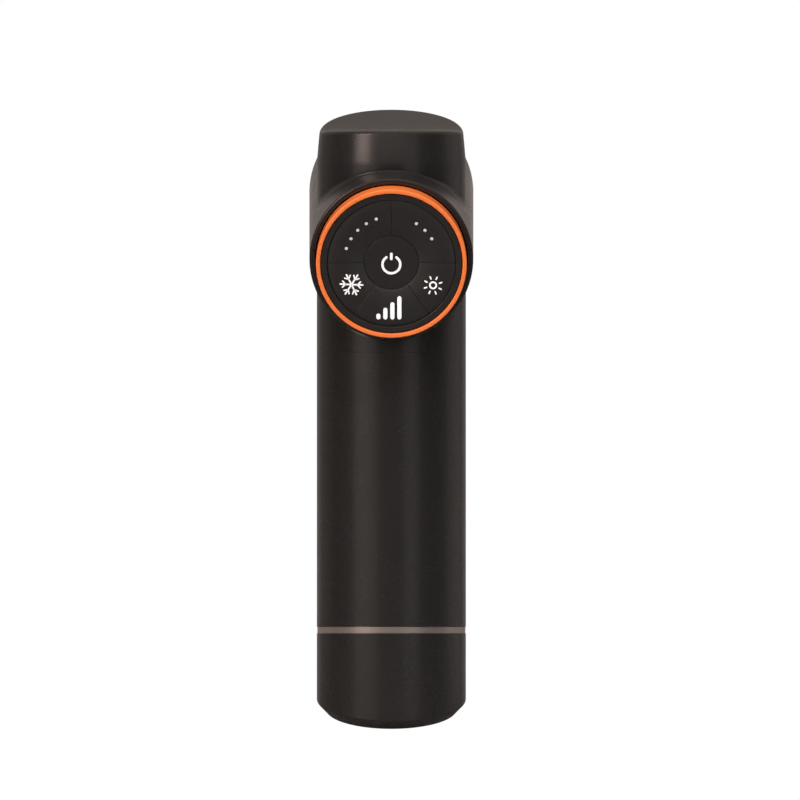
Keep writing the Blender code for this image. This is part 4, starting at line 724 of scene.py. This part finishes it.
def facing_out(across, up, along):
    """A place for an outline that stands at the inlet's height and is raised forwards."""
    return Vector((across, along, INLET_HEIGHT + up))


flat_radius = HANDLE_RADIUS - CHAMFER_WIDTH
cap = turned("handle_cap", [
    (0, 0, 0), (flat_radius, 0, BASE_ROUND), (HANDLE_RADIUS, CHAMFER_HEIGHT, CHAMFER_TOP_ROUND),
    (HANDLE_RADIUS, TILT_FULL_BELOW, 0), (HANDLE_RADIUS, CAP_TOP, SEAM_ROUND),
    (SPIGOT_RADIUS, CAP_TOP, 0), (SPIGOT_RADIUS, CAP_SPIGOT_TOP, 0), (SPIGOT_BORE, CAP_SPIGOT_TOP, 0),
    (SPIGOT_BORE, CAP_FLOOR, 0), (0, CAP_FLOOR, 0),
], around_cap)
inlet = round_ended(INLET_WIDTH, INLET_DEPTH, INLET_STEPS)
cap = cut(cap, [inlet], INLET_INNER, INLET_OUTER, facing_out)
fit(cap, ["bottom_cap"], BLACK_ABS)


# The charging socket
# A bought-in socket: a round-ended shell folded from nickel-plated steel sheet, round a
# black tongue with a row of gilt contacts. It is soldered to the small charging board.

SOCKET_WIDTH = 0.0090
SOCKET_DEPTH = 0.0033
SOCKET_SHEET = 0.0003
SOCKET_BACK = 0.0163
SOCKET_MOUTH = 0.0237
TONGUE_WIDTH = 0.0066
TONGUE_DEPTH = 0.0007
TONGUE_MOUTH = 0.0229
CONTACT_COUNT = 8
CONTACT_PITCH = 0.0006
CONTACT_WAIST = 0.0003
CONTACT_HEIGHT = 0.00076

# Nickel plate on rolled steel: bright, slightly warm, with faint streaks from the rolling.
# The streaks are about 0.1 mm wide and shown so.
NICKEL_STEEL = finish_of(
    "nickel_plated_steel", "#B9B7B2", "#CBC9C4", 0.24, 6.0, 0.1, 0.0006,
    stretch=(1, 0.1, 1), Metallic=1.0,
)
# Moulded nylon: plain dull black.
BLACK_NYLON = finish_of("moulded_black_nylon", "#161616", "#1E1E1D", 0.5, 8.0, 0.3, 0.002, IOR=1.53)
# Flash of gold over copper: warm and shiny.
GILT_COPPER = finish_of("gilt_copper", "#D8B26A", "#E6C47F", 0.2, 2.0, 0.1, 0.0004, Metallic=1.0)

socket = prism(
    "socket_shell", [round_ended(SOCKET_WIDTH, SOCKET_DEPTH, INLET_STEPS)],
    SOCKET_BACK, SOCKET_MOUTH, facing_out,
)
hollow = round_ended(SOCKET_WIDTH - 2 * SOCKET_SHEET, SOCKET_DEPTH - 2 * SOCKET_SHEET, INLET_STEPS)
socket = cut(socket, [hollow], SOCKET_BACK + SOCKET_SHEET, SOCKET_MOUTH + SOCKET_SHEET, facing_out)
fit(socket, ["charge_socket"], NICKEL_STEEL)
tongue = prism(
    "socket_tongue", [round_ended(TONGUE_WIDTH, TONGUE_DEPTH, 6)],
    SOCKET_BACK + 2 * SOCKET_SHEET, TONGUE_MOUTH, facing_out,
)
fit(tongue, ["charge_socket"], BLACK_NYLON)
contacts = [
    [((number - (CONTACT_COUNT - 1) / 2) * CONTACT_PITCH + x, y)
     for x, y in round_ended(CONTACT_WAIST, CONTACT_HEIGHT, 4)]
    for number in range(CONTACT_COUNT)
]
strips = prism(
    "socket_contacts", contacts,
    SOCKET_BACK + 3 * SOCKET_SHEET, TONGUE_MOUTH - SOCKET_SHEET, facing_out,
)
fit(strips, ["charge_socket"], GILT_COPPER)


# The accent ring
# An orange ring that stands out of the barrel's rear mouth. It is moulded in ABS through
# its whole thickness, polished, and pressed in round the panel.

RING_RADIUS = 0.02429
RING_ROOT = 0.0241
RING_BORE = 0.02294
RING_REAR = -0.0398989
RING_FRONT = -0.0287989
RING_ROUND = 0.0004

# Polished orange ABS: an even, strong orange with a sharp highlight on its edge.
ORANGE_ABS = finish_of("polished_orange_abs", "#E97539", "#ED7A3D", 0.16, 12.0, 0.4, 0.0004, IOR=1.5)
ring = turned("orange_ring", [
    (RING_ROOT, RING_FRONT, 0), (RING_RADIUS, RING_REAR, RING_ROUND),
    (RING_BORE, RING_REAR, RING_ROUND), (RING_BORE, RING_FRONT, 0),
], around_barrel)
fit(ring, ["accent_ring"], ORANGE_ABS)


# The control panel
# A round pad inside a plain bezel: a flat power key in the middle, and round it a swelling
# ring of three keys below and two windows above, with hairline slits between them.
# All are moulded in satin black polycarbonate, with a post behind each key for its switch.

BEZEL_RADIUS = 0.0227
BEZEL_BORE = 0.02078
BEZEL_REAR = -0.0393989
BEZEL_FRONT = -0.0302989
EDGE_EASE = 0.0002
PAD_RADIUS = 0.0207
PAD_CREST = 0.0176
PAD_REAR = -0.0391500
PAD_INNER_FALL = 0.0013
PAD_OUTER_FALL = 0.0004
PAD_ROUND = 0.00016
KEY_FRONT = -0.0342989
KEY_SLIT = 0.00008
POWER_RADIUS = 0.00872
POST_RADIUS = 0.0016
POST_TIP = -0.0329989
POST_CIRCLE = 0.0146
PAD_EDGE_STEPS = 6
PAD_RINGS = 18
PAD_SPOKES = 24
LOWER_CORNER = math.radians(144)
QUARTER = math.radians(90)

# Spark-eroded mould, finer than the shell's: smooth satin black, a little lighter where
# it faces the light. Its grain is about 0.05 mm, drawn at 0.3 mm.
PANEL_POLYCARBONATE = finish_of(
    "satin_black_polycarbonate", "#232120", "#272524", 0.34, 16.0, 0.3, 0.0005, IOR=1.58,
)
bezel = turned("pad_bezel", [
    (BEZEL_RADIUS, BEZEL_FRONT, 0), (BEZEL_RADIUS, BEZEL_REAR, EDGE_EASE),
    (BEZEL_BORE, BEZEL_REAR, EDGE_EASE), (BEZEL_BORE, BEZEL_FRONT, 0),
], around_barrel)
fit(bezel, ["panel_bezel"], PANEL_POLYCARBONATE)


def pad_depth(radius):
    """How far along the barrel the face of the pad lies at a radius."""
    if radius > PAD_CREST:
        return PAD_REAR + PAD_OUTER_FALL * ((radius - PAD_CREST) / (PAD_RADIUS - PAD_CREST)) ** 2
    share = (PAD_CREST - max(radius, POWER_RADIUS)) / (PAD_CREST - POWER_RADIUS)
    return PAD_REAR + PAD_INNER_FALL * share ** 2


def edge_drop(*distances):
    """How far a rounded edge has fallen at these distances from the nearest sides."""
    spent = sum(max(1 - distance / PAD_ROUND, 0) ** 2 for distance in distances)
    return PAD_ROUND * (1 - math.sqrt(max(1 - spent, 0)))


def across_pad(length, count):
    """Places over a length that crowd together over the rounded edges."""
    edge = [PAD_ROUND * (1 - cosine) for _, cosine in quarter(PAD_EDGE_STEPS)]
    inner = [PAD_ROUND + (length - 2 * PAD_ROUND) * i / count for i in range(1, count)]
    return edge + inner + [length - place for place in reversed(edge)]


def pad_piece(name, start, end, inner):
    """A key or window of the pad between two clockwise angles, in to an inner radius."""
    rows, floor = [], []
    for out in across_pad(PAD_RADIUS - inner, PAD_RINGS):
        radius = inner + out
        slit = math.asin(KEY_SLIT / 2 / radius)
        span = (end - start - 2 * slit) * radius
        row, under = [], []
        for along in across_pad(span, PAD_SPOKES):
            turn = start + slit + along / radius
            spot = (radius * math.sin(turn), radius * math.cos(turn))
            drop = edge_drop(out, PAD_RADIUS - inner - out, along, span - along)
            row.append(in_barrel(*spot, pad_depth(radius) + drop))
            under.append(in_barrel(*spot, KEY_FRONT))
        rows.append(row)
        floor.append(under)
    sides = [[rows[i], floor[i]] for i in (0, -1)]
    sides += [[[row[i] for row in rows], [row[i] for row in floor]] for i in (0, -1)]
    return skinned(name, [rows, floor, *sides])


power_outline = [(POST_RADIUS, KEY_FRONT, 0), (POWER_RADIUS, KEY_FRONT, 0)]
for out in across_pad(POWER_RADIUS, 4)[:-1 - PAD_EDGE_STEPS]:
    power_outline.append((POWER_RADIUS - out, pad_depth(POWER_RADIUS - out) + edge_drop(out), 0))
power_outline += [(0, pad_depth(0), 0), (0, POST_TIP, 0), (POST_RADIUS, POST_TIP, 0)]
power_key = turned("power_cap", power_outline, around_barrel)
fit(power_key, ["power_button"], PANEL_POLYCARBONATE, "power_key")
KEY_INNER = POWER_RADIUS + KEY_SLIT
for name, body, node, start, end in (
    ("heat_key_cap", "heat_key", "heat_button", QUARTER, LOWER_CORNER),
    ("intensity_key_cap", "intensity_key", "intensity_button", LOWER_CORNER, math.tau - LOWER_CORNER),
    ("cold_key_cap", "cold_key", "cold_button", math.tau - LOWER_CORNER, math.tau - QUARTER),
    ("level_display", "massager_body", "level_window", 0, QUARTER),
    ("speed_display", "massager_body", "speed_window", -QUARTER, 0),
):
    piece = pad_piece(name, start, end, KEY_INNER)
    if node.endswith("button"):
        middle = (start + end) / 2
        spot = (POST_CIRCLE * math.sin(middle), POST_CIRCLE * math.cos(middle))
        post = prism("key_post", [hoop(POST_RADIUS, spot)], KEY_FRONT - PAD_ROUND, POST_TIP, in_barrel)
        piece = worked(piece, post, "UNION")
    fit(piece, [node], PANEL_POLYCARBONATE, body)


# The symbols and the indicator dots
# Plain function signs, pad printed in white ink on the keys: power, snowflake, sun and
# four rising bars. Over each light pin the window is thinned to a small milky dot, five
# for the speed and three for the level.

INK_PROUD = 0.00003
INK_GRID = 0.0006
DOT_RADIUS = 0.00051
DOT_CIRCLE = 0.0153
DOT_STEP = math.radians(13.25)
DOT_SIDES = 32
DOT_SWELL = ((1, -0.00003), (1, 0.00001), (0.9, 0.00003), (0.6, 0.00005), (0, 0.00006))

# Thick white ink: flat, fully covering, hardly shiny.
WHITE_INK = finish_of("white_pad_printed_ink", "#F7F7F5", "#FFFFFF", 0.42, 2.0, 0.3, 0.001, IOR=1.5)
# Unlit diffuser: a pale translucent grey that looks soft and a little waxy.
MILKY_DOT = finish_of("milky_polycarbonate", "#CDCBC9", "#D4D2D0", 0.35, 1.0, 0.3, 0.001, IOR=1.58)


def on_pad(across, up, proud):
    return in_barrel(across, up, pad_depth(math.hypot(across, up)) - proud)


def stroke(path, width):
    """The outline of a line of ink with round ends along a path of panel places."""
    points = [Vector(place) for place in path]
    left, right = [], []
    for i, point in enumerate(points):
        heading = (points[min(i + 1, len(points) - 1)] - points[max(i - 1, 0)]).normalized()
        side = Vector((-heading.y, heading.x)) * width / 2
        left.append(point + side)
        right.append(point - side)
    ends = []
    for point, heading in ((points[-1], points[-1] - points[-2]), (points[0], points[0] - points[1])):
        lean = math.atan2(heading.y, heading.x)
        turns = [lean + math.pi * (0.5 - i / 8) for i in range(1, 8)]
        ends.append([point + Vector((math.cos(turn), math.sin(turn))) * width / 2 for turn in turns])
    return left + ends[0] + right[::-1] + ends[1]


def line(start, end, width):
    """A straight stroke, with points close enough to follow the dish."""
    start, end = Vector(start), Vector(end)
    count = max(2, math.ceil((end - start).length / INK_GRID))
    return stroke([start.lerp(end, i / count) for i in range(count + 1)], width)


def curve(centre, radius, start, end, width, steps=40):
    """A stroke along part of a circle between two clockwise angles."""
    turns = [start + (end - start) * i / steps for i in range(steps + 1)]
    path = [(centre[0] + radius * math.sin(t), centre[1] + radius * math.cos(t)) for t in turns]
    return stroke(path, width)


def flat(across, up, level):
    return Vector((across, up, level))


def printed(name, body, strokes):
    """One symbol from its strokes, merged while flat, cut fine and laid on the swelling pad."""
    sign = prism(name, strokes[:1], -INK_PROUD, INK_PROUD, flat)
    sign = worked(sign, prism(name + "_rest", strokes[1:], -INK_PROUD, INK_PROUD, flat), "UNION")
    bm = bmesh.new()
    bm.from_mesh(sign.data)
    for across in (Vector((1, 0, 0)), Vector((0, 1, 0))):
        places = [vertex.co.dot(across) for vertex in bm.verts]
        first, last = math.ceil(min(places) / INK_GRID), math.floor(max(places) / INK_GRID)
        for step in range(first, last + 1):
            bmesh.ops.bisect_plane(bm, geom=bm.verts[:] + bm.edges[:] + bm.faces[:],
                                   plane_co=across * step * INK_GRID, plane_no=across)
    for vertex in bm.verts:
        vertex.co = on_pad(*vertex.co)
    bm.to_mesh(sign.data)
    bm.free()
    return fit(smoothed(sign, 20), [], WHITE_INK, body)


def aside(centre, angle, along, across=0.0):
    """A panel place some way along and across a direction from a centre."""
    x, y = math.cos(angle), math.sin(angle)
    return centre[0] + along * x - across * y, centre[1] + along * y + across * x


POWER_CENTRE = (0.0, -0.00062)
POWER_ARC = 0.00286
POWER_GAP = 34
printed("power_sign", "power_key", [
    curve(POWER_CENTRE, POWER_ARC, math.radians(POWER_GAP), math.radians(360 - POWER_GAP), 0.00078),
    line((-0.00002, 0.00282), (-0.00002, 0.00126), 0.00088),
])

SNOW_CENTRE = (-0.01285, -0.00698)
SNOW_TURN = -3.5
SNOW_REACH = 0.0036
SNOW_TWIG_ROOT = 0.0019
SNOW_TWIG_TIP = (0.0029, 0.0010)
snow = []
for arm in range(3):
    lean = math.radians(60 * arm + SNOW_TURN)
    ends = [aside(SNOW_CENTRE, lean, reach) for reach in (-SNOW_REACH, SNOW_REACH)]
    snow.append(line(*ends, 0.00052))
for arm in range(6):
    lean = math.radians(60 * arm + SNOW_TURN)
    for side in (-1, 1):
        tip = aside(SNOW_CENTRE, lean, SNOW_TWIG_TIP[0], side * SNOW_TWIG_TIP[1])
        snow.append(line(aside(SNOW_CENTRE, lean, SNOW_TWIG_ROOT), tip, 0.00044))
printed("snowflake_sign", "cold_key", snow)

SUN_CENTRE = (0.01343, -0.00720)
SUN_TURN = 18.5
SUN_DISC = 0.00103
SUN_BEAM = (0.00217, 0.00291)
sun = [
    curve(SUN_CENTRE, SUN_DISC, math.radians(start), math.radians(start + 190), 0.00054)
    for start in (0, 180)
]
for beam in range(8):
    lean = math.radians(SUN_TURN + 45 * beam)
    sun.append(line(*(aside(SUN_CENTRE, lean, reach) for reach in SUN_BEAM), 0.00047))
printed("sun_sign", "heat_key", sun)

BAR_WIDTH = 0.00134
BAR_FOOT = -0.01840
BAR_TOPS = ((-0.00419, -0.01645), (-0.00193, -0.01458), (0.00032, -0.01280), (0.00258, -0.01090))
printed("bars_sign", "intensity_key", [
    line((x, BAR_FOOT + BAR_WIDTH / 2), (x, top - BAR_WIDTH / 2), BAR_WIDTH)
    for x, top in BAR_TOPS
])

for window, side, count in (("speed", -1, 5), ("level", 1, 3)):
    for number in range(count):
        turn = side * QUARTER / 2 + DOT_STEP * (number - (count - 1) / 2)
        centre = Vector((DOT_CIRCLE * math.sin(turn), DOT_CIRCLE * math.cos(turn)))
        rows = []
        for i in range(DOT_SIDES + 1):
            lean = math.tau * i / DOT_SIDES
            row = []
            for share, proud in DOT_SWELL:
                spot = centre + Vector((math.cos(lean), math.sin(lean))) * DOT_RADIUS * share
                row.append(on_pad(spot.x, spot.y, proud))
            rows.append(row)
        dot = skinned(f"{window}_dot_{number + 1}", [rows])
        fit(dot, [], MILKY_DOT)


# The front collar and the shaft seal
# The barrel's rounded nose, moulded in the shell's ABS and pressed into its front end.
# It grips a lipped ring of soft black rubber that keeps dust out round the shaft.

COLLAR_REAR = 0.0814
COLLAR_LENGTH = 0.0078
COLLAR_FACE = 0.0195
COLLAR_BORE = 0.0126
COLLAR_SPIGOT = 0.0239
COLLAR_SPIGOT_LENGTH = 0.0052
COLLAR_WALL = 0.0024
COLLAR_FACE_ROUND = 0.0006
NOSE_STEPS = 24
SEAL_BORE = 0.0073
SEAL_RADIUS = 0.0123
SEAL_MIDDLE = 0.0880
SEAL_HALF = 0.0009
SEAL_ROUND = 0.0002
SEAL_GROOVE = ((0.0084, 0), (0.0090, 0.0005), (0.0098, 0.0005), (0.0104, 0))

collar_front = COLLAR_REAR + COLLAR_LENGTH
nose = [(COLLAR_BORE, collar_front - COLLAR_WALL, 0), (COLLAR_BORE, collar_front, COLLAR_FACE_ROUND)]
for sine, cosine in reversed(quarter(NOSE_STEPS)):
    radius = COLLAR_FACE + (BARREL_RADIUS - COLLAR_FACE) * cosine
    nose.append((radius, COLLAR_REAR + COLLAR_LENGTH * sine, 0))
nose += [
    (COLLAR_SPIGOT, COLLAR_REAR, 0), (COLLAR_SPIGOT, COLLAR_REAR - COLLAR_SPIGOT_LENGTH, 0),
    (COLLAR_SPIGOT - COLLAR_WALL, COLLAR_REAR - COLLAR_SPIGOT_LENGTH, 0),
    (COLLAR_SPIGOT - COLLAR_WALL, COLLAR_REAR, 0), (COLLAR_FACE, collar_front - COLLAR_WALL, 0),
]
fit(turned("barrel_nose", nose, around_barrel), ["front_collar"], BLACK_ABS)

# Moulded nitrile rubber: dull, slightly grey black that drinks in the light.
BLACK_RUBBER = finish_of(
    "moulded_nitrile_rubber", "#1B1B1B", "#232322", 0.72, 5.0, 0.25, 0.004, IOR=1.52,
)
seal_front, seal_rear = SEAL_MIDDLE + SEAL_HALF, SEAL_MIDDLE - SEAL_HALF
seal = turned("rubber_seal", [
    (SEAL_BORE, seal_rear, SEAL_ROUND), (SEAL_BORE, seal_front, SEAL_ROUND),
    *((radius, seal_front - depth, SEAL_ROUND) for radius, depth in SEAL_GROOVE),
    (SEAL_RADIUS, seal_front, SEAL_ROUND / 2), (SEAL_RADIUS, seal_rear, SEAL_ROUND / 2),
], around_barrel)
fit(seal, ["shaft_seal"], BLACK_RUBBER)


# The percussion shaft
# A ground steel rod that carries the massage head to and fro. It is bored in front for
# the head's stem, and slotted and cross-bored behind for the connecting rod.

SHAFT_RADIUS = 0.0070
SHAFT_BORE = 0.0049
SHAFT_REAR = 0.0198
SHAFT_FRONT = 0.0858
SHAFT_BORE_FLOOR = 0.0698
FORK_END = 0.0298
FORK_HALF = 0.0028
FORK_REACH = 0.010
OVERRUN = 0.002
WRIST_PLACE = 0.0250
WRIST_BORE = 0.0023

# Hardened and ground: bright grey with fine lines round the rod, 0.05 mm apart, drawn at
# 0.2 mm.
GROUND_STEEL = finish_of(
    "ground_steel", "#A9AAAB", "#BBBCBD", 0.22, 14.0, 0.2, 0.0008,
    stretch=(0.03, 1, 0.03), Metallic=1.0,
)
shaft = turned("ground_shaft", [
    (0, SHAFT_REAR, 0), (SHAFT_RADIUS, SHAFT_REAR, EDGE_EASE), (SHAFT_RADIUS, SHAFT_FRONT, 0.0006),
    (SHAFT_BORE, SHAFT_FRONT, 0.0004), (SHAFT_BORE, SHAFT_BORE_FLOOR, 0), (0, SHAFT_BORE_FLOOR, 0),
], around_barrel, 96)
fork_outline = [
    (-FORK_REACH, SHAFT_REAR - OVERRUN), (-FORK_REACH, FORK_END),
    (FORK_REACH, FORK_END), (FORK_REACH, SHAFT_REAR - OVERRUN),
]
shaft = cut(shaft, [fork_outline], -FORK_HALF, FORK_HALF, upright)
shaft = cut(shaft, [hoop(WRIST_BORE, (0, WRIST_PLACE), 32)], -FORK_REACH, FORK_REACH, upright)
fit(shaft, ["percussion_shaft"], GROUND_STEEL, "shaft")


# The massage head
# A round cup of the shell's ABS with a stem that plugs into the shaft. Twelve vents in
# its side let the fan behind the heat sink breathe.

HEAD_RADIUS = 0.0175
HEAD_BORE = 0.0157
HEAD_REAR = 0.0917
HEAD_FRONT = 0.1182
HEAD_FLOOR = 0.0935
HEAD_ROUND = 0.0025
STEM_RADIUS = 0.0046
STEM_TIP = 0.0742
VENT_COUNT = 12
VENT_WIDTH = 0.0022
VENT_LENGTH = 0.0110
VENT_MIDDLE = 0.1020
VENT_INNER = 0.0140
VENT_OUTER = 0.0190

cup = turned("head_cup", [
    (0, STEM_TIP, 0), (STEM_RADIUS, STEM_TIP, 0.0006), (STEM_RADIUS, HEAD_REAR, 0),
    (HEAD_RADIUS, HEAD_REAR, HEAD_ROUND), (HEAD_RADIUS, HEAD_FRONT, 0.0002),
    (HEAD_BORE, HEAD_FRONT, 0), (HEAD_BORE, HEAD_FLOOR, 0), (0, HEAD_FLOOR, 0),
], around_barrel)


def through_wall(turned_by, along, out):
    """A place on the cup's wall from a distance round it, divided by its radius."""
    return around_barrel(turned_by, out, along)


vents = []
for number in range(VENT_COUNT):
    lean = math.radians(360 * (number + 0.5) / VENT_COUNT)
    vents.append([
        (lean + x / HEAD_RADIUS, VENT_MIDDLE + y) for y, x in round_ended(VENT_LENGTH, VENT_WIDTH, 12)
    ])
cup = cut(cup, vents, VENT_INNER, VENT_OUTER, through_wall)
fit(cup, ["head_body"], BLACK_ABS, "massage_head")


# The contact plate
# The face that is pressed on the skin and runs hot or cold: a slightly domed plate turned
# from aluminium and clear anodised, glued to the thermoelectric module.

PLATE_REAR = 0.1185
PLATE_FRONT = 0.1225
PLATE_ROUND = 0.0016
PLATE_DOME = 0.0006
DOME_RADIUS = (HEAD_RADIUS - PLATE_ROUND) * 0.98
DOME_STEPS = 12

plate = [(0, PLATE_REAR, 0), (HEAD_RADIUS, PLATE_REAR, 0.0002), (HEAD_RADIUS, PLATE_FRONT, PLATE_ROUND)]
for i in range(DOME_STEPS + 1):
    share = 1 - i / DOME_STEPS
    plate.append((DOME_RADIUS * share, PLATE_FRONT + PLATE_DOME * (1 - share ** 2), 0))
plate = turned("contact_face", plate, around_barrel)

# Fine turning, then clear anodise: pale satin metal with rings round its middle. The tool
# marks are 0.1 mm apart, drawn at 0.25 mm.
TURNED_ALUMINIUM = bpy.data.materials.new("turned_anodised_aluminium")
TURNED_ALUMINIUM.use_nodes = True
tree = TURNED_ALUMINIUM.node_tree
place = add(tree, "ShaderNodeTexCoord").outputs["Object"]
level_with = add(tree, "ShaderNodeVectorRotate", {"Vector": place, "Center": CROSSING, "Angle": -RAKE},
                 rotation_type="X_AXIS").outputs["Vector"]
centred = add(tree, "ShaderNodeVectorMath", {0: level_with, 1: CROSSING}, operation="SUBTRACT")
apart = add(tree, "ShaderNodeSeparateXYZ", {"Vector": centred.outputs["Vector"]}).outputs
in_face = add(tree, "ShaderNodeCombineXYZ", {"X": apart["X"], "Z": apart["Z"]}).outputs["Vector"]
out = add(tree, "ShaderNodeVectorMath", {0: in_face}, operation="LENGTH").outputs["Value"]
marks = add(tree, "ShaderNodeTexNoise", {"W": out, "Scale": 4000.0, "Detail": 1.0},
            noise_dimensions="1D").outputs["Fac"]
bump = add(tree, "ShaderNodeBump", {"Height": marks, "Strength": 1.0, "Distance": 0.000003})
cloud = add(tree, "ShaderNodeTexNoise", {"Vector": place, "Scale": 90.0, "Detail": 3.0})
satin = add(tree, "ShaderNodeMapRange", {"Value": marks, "To Min": 0.26, "To Max": 0.38})
fill(tree.nodes["Principled BSDF"], {
    "Base Color": mixed(tree, cloud.outputs["Fac"], linear("#C9CBCC"), linear("#D6D8D9")),
    "Roughness": satin.outputs["Result"], "Normal": bump.outputs["Normal"], "Metallic": 1.0,
})
fit(plate, ["contact_plate"], TURNED_ALUMINIUM, "massage_head")


# The housing screws
# Four pan head screws with cross recesses, zinc plated, driven up through wells in the
# lower shell to hold the upper one.

SCREW_HEAD_RADIUS = 0.0020
SCREW_SEAT = -0.0081
SCREW_HEAD_TOP = -0.0099
SCREW_SHANK = 0.0010
SCREW_TIP = 0.0092
SCREW_POINT = 0.0008
SCREW_HEAD_ROUND = 0.0007
RECESS_DEPTH = 0.0009
RECESS_WIDTH = 0.0005
RECESS_REACH = 0.0012

# Bright zinc plate: a cool grey metal, a little cloudy.
ZINC_STEEL = finish_of("zinc_plated_steel", "#A9ABAD", "#C0C2C4", 0.3, 2.0, 0.15, 0.001, Metallic=1.0)
for number, (side, place) in enumerate(screw_spots, 1):
    screw = turned(f"shell_screw_{number}", [
        (0, SCREW_HEAD_TOP, 0), (SCREW_HEAD_RADIUS, SCREW_HEAD_TOP, SCREW_HEAD_ROUND),
        (SCREW_HEAD_RADIUS, SCREW_SEAT, 0.0001), (SCREW_SHANK, SCREW_SEAT, 0),
        (SCREW_SHANK, SCREW_TIP - SCREW_POINT, 0), (0, SCREW_TIP, 0),
    ], lambda angle, radius, up, side=side, place=place: in_barrel(
        side + radius * math.cos(angle), up, place + radius * math.sin(angle)), 48)
    cross = [
        [(side - a, place - b), (side + a, place - b), (side + a, place + b), (side - a, place + b)]
        for a, b in ((RECESS_REACH, RECESS_WIDTH / 2), (RECESS_WIDTH / 2, RECESS_REACH))
    ]
    screw = cut(screw, cross, SCREW_HEAD_TOP - RECESS_DEPTH, SCREW_HEAD_TOP + RECESS_DEPTH, upright)
    fit(screw, [f"housing_screw_{number}"], ZINC_STEEL)


# The works inside
# Everything that the shells hide keeps its CAD shape and gets the finish of the real
# piece: boards, cells, drive, cooler and fan, whether bought in or made for the machine.


def dressed(material, *nodes):
    """Give CAD nodes a finish on their objects' material slots."""
    for node in nodes:
        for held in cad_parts[node].material_slots:
            held.material = material


def laid_over(material, colour, share):
    """Let a second colour cover part of a finish where a pattern says so."""
    tree = material.node_tree
    shader = tree.nodes["Principled BSDF"]
    under = shader.inputs["Base Color"].links[0].from_socket
    fill(shader, {"Base Color": mixed(tree, share, under, linear(colour))})


# Glass-filled nylon, moulded: dull black with short pale fibres just showing. The fibres
# are 0.01 mm thick and are drawn at 0.15 mm.
FILLED_NYLON = finish_of(
    "glass_filled_nylon", "#1C1C1B", "#2A2A28", 0.55, 4.0, 0.15, 0.004,
    stretch=(1, 0.15, 1), IOR=1.54,
)
dressed(FILLED_NYLON, "panel_tray", "cell_holder_lower", "cell_holder_upper", "fan_motor", "fan_rotor",
        "power_switch", "cold_switch", "heat_switch", "intensity_switch")

# Solder mask over glass and epoxy: shiny dark green, with paler lines where copper tracks
# 0.25 mm wide run beneath it.
MASKED_BOARD = finish_of("solder_masked_board", "#0F4A2B", "#145633", 0.28, 6.0, 0.3, 0.001, IOR=1.55)
tree = MASKED_BOARD.node_tree
place = add(tree, "ShaderNodeTexCoord").outputs["Object"]
tracks = add(tree, "ShaderNodeTexVoronoi", {"Vector": place, "Scale": 420.0, "Randomness": 0.7},
             feature="DISTANCE_TO_EDGE")
track = add(tree, "ShaderNodeMapRange", {
    "Value": tracks.outputs["Distance"], "From Min": 0.04, "From Max": 0.07, "To Min": 1.0, "To Max": 0.0,
})
laid_over(MASKED_BOARD, "#2E7A4C", track.outputs["Result"])
dressed(MASKED_BOARD, "key_board", "main_board", "charge_board")

# Clear acrylic, moulded: nearly colourless, with a slight haze.
CLEAR_ACRYLIC = finish_of(
    "clear_acrylic", "#EEF2F2", "#F6F8F8", 0.08, 3.0, 0.4, 0.0005, IOR=1.49, Transmission_Weight=1.0,
)
dressed(CLEAR_ACRYLIC, "speed_light_guide", "level_light_guide")

# Shrink film round each cell: slightly shiny blue-grey vinyl with faint tight wrinkles
# across it, about 1 mm apart.
SHRINK_FILM = finish_of(
    "vinyl_shrink_film", "#2C4A66", "#35587A", 0.3, 9.0, 1.0, 0.02, stretch=(0.3, 0.3, 1), IOR=1.54,
)
dressed(SHRINK_FILM, "battery_cell_1", "battery_cell_2", "battery_cell_3")

# Die-cast aluminium: soft grey with the pebbled skin of the mould, 0.4 mm across.
CAST_ALUMINIUM = finish_of(
    "die_cast_aluminium", "#8F9193", "#A2A4A6", 0.46, 7.0, 0.4, 0.008, Metallic=1.0,
)
dressed(CAST_ALUMINIUM, "drive_frame", "connecting_rod", "heat_sink")

# Turned and tumbled steel: clean grey metal with fine lines left by the tool.
TURNED_STEEL = finish_of(
    "turned_steel", "#9D9FA1", "#B1B3B5", 0.26, 6.0, 0.2, 0.001, stretch=(0.1, 0.1, 1), Metallic=1.0,
)
dressed(TURNED_STEEL, "motor_rotor", "crank_disc", "rod_bearing", "wrist_pin", "motor_bearing_lower",
        "motor_bearing_upper")
dressed(ZINC_STEEL, "cap_screw_1", "cap_screw_2")

# Enamelled copper wire wound on the stator: rich red-brown. The turns of the 0.4 mm wire
# show as ribs through painted shade: darker bands in the grooves between the turns.
WOUND_COPPER = finish_of(
    "enamelled_copper_wire", "#8A4326", "#A9572F", 0.3, 3.0, 0.4, 0.004, Metallic=0.8,
)
tree = WOUND_COPPER.node_tree
place = add(tree, "ShaderNodeTexCoord").outputs["Object"]
# Painted shade: wave bands, one per turn of wire, darken the wire where the grooves between the turns
# lie.
turns = add(tree, "ShaderNodeTexWave", {"Vector": place, "Scale": 800.0, "Distortion": 0.6},
            wave_type="BANDS", bands_direction="Z")
laid_over(WOUND_COPPER, "#5E2A17", turns.outputs["Fac"])
dressed(WOUND_COPPER, "motor_stator")

# Sintered bronze: warm, slightly grainy and oily, with pores of 0.1 mm drawn at 0.3 mm.
SINTERED_BRONZE = finish_of("sintered_bronze", "#A07A3E", "#BB9350", 0.38, 3.0, 0.3, 0.006, Metallic=1.0)
dressed(SINTERED_BRONZE, "rear_bush", "front_bush")

# Alumina plates of the cooler: matt white ceramic with the faintest specks.
WHITE_ALUMINA = finish_of("sintered_alumina", "#E4E3DE", "#EFEEEA", 0.6, 2.0, 0.2, 0.003, IOR=1.76)
dressed(WHITE_ALUMINA, "peltier_module")
dressed(BLACK_RUBBER, "plate_gasket")
